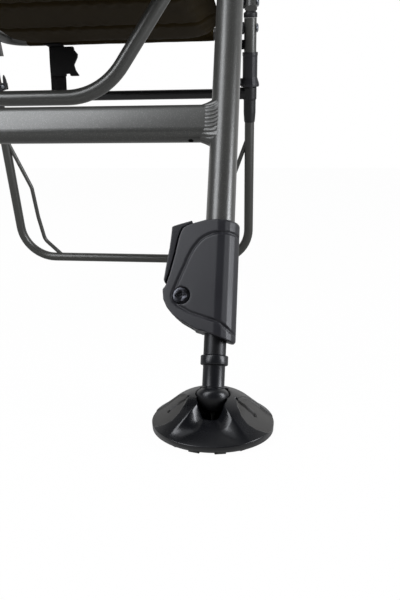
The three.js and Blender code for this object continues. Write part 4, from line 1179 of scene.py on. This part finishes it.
def slim_pad(name, pad):
    """A closed pad, lying flat, thinner than it will be."""
    points, faces = [], []
    row = PAD_COLUMNS + 1
    for height in (pad["rise"], -pad["sag"]):
        first = len(points)
        for j in range(PAD_ROWS + 1):
            for i in range(row):
                u, v = 2 * i / PAD_COLUMNS - 1, 2 * j / PAD_ROWS - 1
                points.append((*pad_outline(pad, u, v), PAD_START * height * crown(u, v)))
        sheet = row_faces(PAD_ROWS + 1, row, around=False)
        faces += [tuple(first + corner for corner in face) for face in sheet]
    piece = new_piece(name, points, faces)
    outward(piece.data, merge=0.1 * MM)
    return piece


def mesh_points(mesh):
    """A mesh's points, one row each."""
    flat = np.empty(3 * len(mesh.vertices))
    mesh.vertices.foreach_get("co", flat)
    return flat.reshape(-1, 3)


def swell(piece, pad):
    """Inflates the pad as cloth, holds its rim and limits how far a point moves."""
    modify(piece, "REMESH", mode="VOXEL", voxel_size=PAD_VOXEL)
    apply_modifiers(piece)
    start = mesh_points(piece.data)
    cloth = modify(piece, "CLOTH")
    cloth.settings.quality = 4
    cloth.settings.use_pressure = True
    cloth.settings.uniform_pressure_force = 4
    cloth.settings.effector_weights.gravity = 0
    cloth.collision_settings.use_collision = False
    for frame_number in range(1, SWELL_FRAMES + 1):
        bpy.context.scene.frame_set(frame_number)
    apply_modifiers(piece)
    bpy.context.scene.frame_set(1)
    move = mesh_points(piece.data) - start
    travel = np.linalg.norm(move, axis=1, keepdims=True)
    move *= np.minimum(1, SWELL_LIMIT / np.maximum(travel, 1e-9))
    to_side = pad["width"] / 2 * MM - np.abs(start[:, 0])
    to_end = pad["depth"] / 2 * MM - np.abs(start[:, 1])
    held = smooth_step(np.minimum(to_side, to_end), RIM_SEAM, RIM_HOLD)
    moved = start + move * held[:, None]
    piece.data.vertices.foreach_set("co", moved.ravel())
    modify(piece, "SUBSURF", levels=1, render_levels=1)
    apply_modifiers(piece)
    return piece


# %% [markdown]
# Three rows of stitching cross each pad and pull it down into channels, and the cloth beside
# a row gathers in short creases. The rebuilt mesh can't hold a line this narrow through the
# swelling, so the channels are pressed in afterwards. The cloth also gets its layout here: a
# UV map in metres, which the weave reads. A pad's cloth lies in plan, underside and top.

# %% Press the sewn channels and lay out the cloth
CHANNEL_SHARES = (-0.5, 0.0, 0.5)
CHANNEL_HALF = 5.5
CHANNEL_PRESS = 0.42
CREASE_SPACING = 26
CREASE_DEPTH = 0.9
CREASE_AWAY = 14
CREASE_BAND = 11
HEIGHT_EASE = 1.25


def press_channels(points, pad):
    """Points in millimetres, pressed in along each sewn row and creased beside it."""
    x, y, z = points.T
    pressed = np.zeros(len(points))
    gathered = np.zeros(len(points))
    for share in CHANNEL_SHARES:
        away = np.abs(y - share * pad["depth"] / 2)
        pressed = np.maximum(pressed, np.exp(-((away / CHANNEL_HALF) ** 2)))
        gathered = np.maximum(gathered, np.exp(-((away - CREASE_AWAY) / CREASE_BAND) ** 2))
    rim = np.minimum(pad["width"] / 2 - np.abs(x), pad["depth"] / 2 - np.abs(y))
    wave = np.sin(2 * np.pi * x / CREASE_SPACING + 1.7 * np.sin(y / 31)) * np.sin(x / 47 + y / 23)
    z = z * (1 - CHANNEL_PRESS * pressed)
    z = z + np.sign(z) * CREASE_DEPTH * gathered * wave * smooth_step(rim, 6, 30)
    return np.stack([x, y, z], axis=1)


def lay_cloth(mesh, layout):
    """A UV map in metres, from each point's place on the flat cloth in millimetres."""
    layer = mesh.uv_layers.new(name="cloth_metres")
    corner_vertex = np.empty(len(mesh.loops), np.int32)
    mesh.loops.foreach_get("vertex_index", corner_vertex)
    layer.data.foreach_set("uv", (np.array(layout)[corner_vertex] * MM).ravel())


def limit_height(points, pad):
    """Keeps the pad within its rise and sag, eased near the limit."""
    z = points[:, 2]
    limit = np.where(z > 0, pad["rise"], pad["sag"])
    eased_height = limit * np.tanh(np.abs(z) / limit * HEIGHT_EASE) / math.tanh(HEIGHT_EASE)
    points[:, 2] = np.sign(z) * np.minimum(eased_height, limit)
    return points


# %% Seat pad
TUBE_CLEARANCE = 11.5
seat_pad = {
    "width": 2 * (HALF_SEAT - TUBE_CLEARANCE),
    "depth": SEAT_REAR - SEAT_FRONT - 2 * TUBE_CLEARANCE,
    "rise": 24, "sag": 19, "inset": 17,
}
SEAT_MIDDLE = (SEAT_FRONT + SEAT_REAR) / 2
RAIL_CLEARANCE = 10.2
RAIL_SWELL = 1.5
TOP_FOLLOWS = 0.45
TOP_GAP = 6


def over_rail(points):
    """Lifts the pad where the dropped rail runs up under its sides."""
    x, y, z = points.T
    rail_x, rail_z = zip(*RAIL_WAY)
    rail_height = np.interp(np.abs(x), rail_x, rail_z)
    beside = (y + SEAT_MIDDLE - RAIL_SETBACK) / RAIL_CLEARANCE
    top = rail_height + RAIL_CLEARANCE * RAIL_SWELL * np.sqrt(np.maximum(1 - beside ** 2, 0))
    near = smooth_step(1.6 - np.abs(beside), 0, 0.9)
    lift = np.maximum(top - z, 0) * near
    points[:, 2] = np.where(z < 0, z + lift, z + TOP_FOLLOWS * np.maximum(top + TOP_GAP - z, 0) * near)
    return points


def finished_pad(name, pad, matrix, reshape, replaced, body):
    """Swells, presses, reshapes and places one pad."""
    piece = swell(slim_pad(name, pad), pad)
    points = mesh_points(piece.data) / MM
    points = press_channels(limit_height(points, pad), pad)
    lay_cloth(piece.data, points[:, :2])
    points = reshape(points)
    piece.data.vertices.foreach_set("co", (points * MM).ravel())
    outward(piece.data)
    piece.data.shade_smooth()
    piece.data.transform(matrix)
    fit_out(piece, body, [seat_cloth], [replaced])
    return piece


seat_matrix = shifted(seat_frame, y=SEAT_MIDDLE)
seat_cushion = finished_pad(
    "seat_cushion", seat_pad, seat_matrix, over_rail, "seat_pad", "seat",
)
print("seat cushion:", len(seat_cushion.data.polygons), "faces")

# %% Backrest pad
BACK_FOOT = 62
back_pad_top = BACK_TOP - TUBE_CLEARANCE
back_pad = {
    "width": 2 * (HALF_REAR - TUBE_CLEARANCE), "depth": back_pad_top - BACK_FOOT,
    "rise": 13, "sag": 24, "inset": 23.4,
}
BACK_MIDDLE = (back_pad_top + BACK_FOOT) / 2


def swept_back(points):
    """Bends the pad with the sweep of the hoop."""
    along = points[:, 1] + BACK_MIDDLE - BACK_BEND
    points[:, 2] += BACK_SWEEP * np.maximum(along, 0) / (BACK_TOP - BACK_BEND)
    return points


lay_up = Matrix(((-1, 0, 0, 0), (0, 0, 1, 0), (0, 1, 0, 0), (0, 0, 0, 1)))
back_matrix = shifted(back_frame, z=BACK_MIDDLE) @ lay_up
back_cushion = finished_pad(
    "back_cushion", back_pad, back_matrix, swept_back, "back_pad", "backrest",
)
print("back cushion:", len(back_cushion.data.polygons), "faces")

# %% [markdown]
# The cover is hung on the seat ring by sleeves: the cloth goes round each bar and is sewn
# to itself below. A sleeve is one sheet, nearly a full turn round the tube, drawn as rings
# of points that follow the tube with shallow creases in them.

# %% Cloth sleeves on the seat ring
SLEEVE_RADIUS = 11.55
SLEEVE_TURN = math.radians(352)
SLEEVE_RINGS = 44
SLEEVE_AROUND = 30


def cloth_sleeve(name, start, end, matrix):
    """One sheet round a straight bar between two points, open along one line below."""
    start, end, up = Vector(start), Vector(end), Vector((0, 0, 1))
    side_way = (end - start).normalized().cross(up)
    length = (end - start).length
    points, layout, faces = [], [], []
    row = SLEEVE_AROUND + 1
    for j in range(SLEEVE_RINGS + 1):
        share = j / SLEEVE_RINGS
        middle = start.lerp(end, share)
        for i in range(row):
            angle = -math.pi / 2 + (i / SLEEVE_AROUND - 0.5) * SLEEVE_TURN + math.pi
            crease = 0.12 * math.sin(5 * angle + 19 * share) + 0.1 * math.sin(2 * angle - 43 * share)
            outward_way = math.cos(angle) * side_way + math.sin(angle) * up
            points.append(middle + (SLEEVE_RADIUS + crease) * outward_way)
            layout.append((share * length, i / SLEEVE_AROUND * SLEEVE_TURN * SLEEVE_RADIUS))
    for j in range(SLEEVE_RINGS):
        for i in range(SLEEVE_AROUND):
            a = j * row + i
            faces.append((a, a + row, a + row + 1, a + 1))
    piece = new_piece(name, points, faces, matrix)
    lay_cloth(piece.data, layout)
    piece.data.shade_smooth()
    fit_out(piece, "seat", [seat_cloth])


FRONT_BAR_END = HALF_SEAT - 64
REAR_BAR_END = HALF_SEAT - 37
SIDE_SLEEVE_START = RAIL_SETBACK + 16
SIDE_SLEEVE_END = SEAT_SPAN - 34
sleeve_runs = {
    "front_bar_sleeve": ((FRONT_BAR_END, SEAT_FRONT, 0), (-FRONT_BAR_END, SEAT_FRONT, 0)),
    "rear_bar_sleeve": ((REAR_BAR_END, SEAT_REAR, 0), (-REAR_BAR_END, SEAT_REAR, 0)),
}
for side, sign in SIDES.items():
    sleeve_runs[f"side_bar_sleeve_{side}"] = (
        (sign * HALF_SEAT, SIDE_SLEEVE_START, 0), (sign * HALF_SEAT, SIDE_SLEEVE_END, 0),
    )
for name, (start, end) in sleeve_runs.items():
    cloth_sleeve(name, start, end, seat_frame)
print("sleeves on 4 bars,", round(SLEEVE_TURN * SLEEVE_RADIUS, 1), "mm of cloth round each")

# %% [markdown]
# The closing strap is flat webbing, sewn under the rear bar and left to hang with a buckle
# at its end. Simulation would erase such a thin band, so it is modelled directly: a line
# bent over the bar's edge with a slight wave, given the webbing's width and thickness, and
# a rounded selvedge on each side.

# %% Closing strap and buckle
STRAP_WIDTH = 31
STRAP_THICKNESS = 1.9
STRAP_OFF_MIDDLE = 124
STRAP_SEAT = 0.95
STRAP_RUN = 22
STRAP_DROP = 101
strap_line = [(-STRAP_RUN + 1.6 * k, 0.0) for k in range(14)]
strap_line += [(0.6 + 2.9 * math.sin(a), -2.9 + 2.9 * math.cos(a)) for a in (0.3, 0.65, 1.0, 1.3)]
strap_line += [
    (3.5 - 0.45 * (1 - math.cos((z - 4) / 9)), -z) for z in np.linspace(4, STRAP_DROP, 40)
]


def strap_section(width, thickness):
    """Points round a band: two flat faces with rounded selvedges."""
    lip = thickness / 2
    side = [(width / 2 - lip + lip * math.cos(a), lip * math.sin(a)) for a in (-1.2, -0.6, 0, 0.6, 1.2)]
    flat = [(width / 2 - lip - (width - 2 * lip) * share, lip) for share in (0.25, 0.5, 0.75)]
    over = [(-a, b) for a, b in side[::-1]]
    under = [(-across, -lip) for across, height in flat]
    return side + flat + over + under


def band_along(name, line, width, thickness, matrix):
    """A flat band, its width along X, that follows a line of (y, z) points."""
    section = strap_section(width, thickness)
    size = len(section)
    points, layout, reach = [], [], 0.0
    for k, (y, z) in enumerate(line):
        before, after = line[max(k - 1, 0)], line[min(k + 1, len(line) - 1)]
        way = Vector((after[0] - before[0], after[1] - before[1])).normalized()
        reach += math.dist(line[max(k - 1, 0)], (y, z))
        for x, off in section:
            points.append((x, y - off * way.y, z + off * way.x))
            layout.append((x, reach))
    faces = [tuple(range(size)), tuple(len(points) - 1 - i for i in range(size))]
    faces += row_faces(len(line), size)
    piece = new_piece(name, points, faces, matrix)
    lay_cloth(piece.data, layout)
    outward(piece.data)
    smooth(piece.data, math.radians(60))
    return piece


rear_bar = seat_frame @ (Vector((0, SEAT_REAR, 0)) * MM)
strap_depth = RING_RADIUS + STRAP_SEAT + STRAP_THICKNESS / 2
strap_frame = Matrix.Translation(rear_bar + Vector((-STRAP_OFF_MIDDLE, 0, -strap_depth)) * MM)
strap = band_along("closing_webbing", strap_line, STRAP_WIDTH, STRAP_THICKNESS, strap_frame)
fit_out(strap, "seat", [webbing], ["closing_strap"])
# The buckle's near-black, dull plastic is partly painted shade from the seat above it.
buckle = rounded_moulding(
    "strap_buckle_moulding", "strap_buckle", "seat", buckle_plastic_with_painted_shade, 0.6, 4,
)
print("strap:", STRAP_DROP, "mm drop; buckle:", len(buckle.data.polygons), "faces")

# %% [markdown]
# A MIG weld is laid as a row of overlapping drops, each a crescent across the joint, and the
# powder coat goes over it. So it is a fillet that runs from the bar's face to the leg's
# round, hollow between the two, with a ripple every few millimetres.

# %% Weld fillets
WELD_RUN = 10.6
WELD_RISE = 4.6
WELD_SUNK = 0.4
WELD_PITCH = 3.7
WELD_RIPPLE = 0.7
WELD_SPAN = 12
WELD_HOLLOW = 0.4
WELD_BOW = 1.6
WELD_BURIED = 1.2
LEG_SIDE_LIMIT = 11.4


def oval_with_normals(depth, height, count):
    """Evenly spaced points round a flat oval, each with its outward direction."""
    radius = depth / 2
    flat = height - depth
    length = 2 * math.pi * radius + 2 * flat
    found = []
    for k in range(count):
        run = length * k / count
        half = length / 2
        turned = run >= half
        run -= half if turned else 0
        angle = min(run / radius, math.pi)
        slid = max(run - math.pi * radius, 0)
        y, z = radius * math.cos(angle), radius * math.sin(angle) + flat / 2 - slid
        flip = -1 if turned else 1
        normal = (math.cos(angle), math.sin(angle))
        found.append(((flip * y, flip * z), (flip * normal[0], flip * normal[1]), length * k / count))
    return found, length


def leg_surface(y):
    """How far out the leg's tube is met at a depth y from its middle plane."""
    return HALF_FRONT - math.sqrt(LEG_RADIUS ** 2 - min(abs(y), LEG_RADIUS - 0.1) ** 2)


def weld_fillet(name, sign):
    """A rippled fillet round the bar's end, closed behind inside the bar and the leg."""
    around, length = oval_with_normals(OVAL_DEPTH, OVAL_HEIGHT, 360)
    ripples = round(length / WELD_PITCH)
    points = []
    for (y, z), (ny, nz), run in around:
        corner = Vector((leg_surface(y), y, z))
        bar_foot = Vector((corner.x - WELD_RUN, y - ny * WELD_SUNK, z - nz * WELD_SUNK))
        leg_y = max(-LEG_SIDE_LIMIT, min(LEG_SIDE_LIMIT, y + ny * WELD_RISE))
        leg_foot = Vector((leg_surface(leg_y) + WELD_SUNK, leg_y, z + nz * WELD_RISE))
        bend = corner.lerp((bar_foot + leg_foot) / 2, WELD_HOLLOW)
        outward_way = Vector((-0.5, ny, nz)).normalized()
        for k in range(WELD_SPAN + 1):
            s = k / WELD_SPAN
            spot = bar_foot.lerp(bend, s).lerp(bend.lerp(leg_foot, s), s)
            bow = WELD_BOW * (s - 0.4) ** 2
            crescent = abs(math.sin(math.pi * (ripples * run / length + bow)))
            points.append(spot + outward_way * WELD_RIPPLE * crescent * math.sin(math.pi * s) ** 0.6)
        points.append(Vector((corner.x + 1.0, y - ny * WELD_BURIED, z - nz * WELD_BURIED)))
    faces = row_faces(len(around), WELD_SPAN + 2, over=True)
    piece = new_piece(name, [(sign * p.x, p.y, p.z) for p in points], faces, bar_frame)
    outward(piece.data)
    smooth(piece.data, math.radians(50))
    return fit_out(piece, "front_legs", [grey_coat], ())


for side, sign in SIDES.items():
    weld_fillet(f"crossbar_weld_{side}", sign)
print("weld ripples every", WELD_PITCH, "mm")
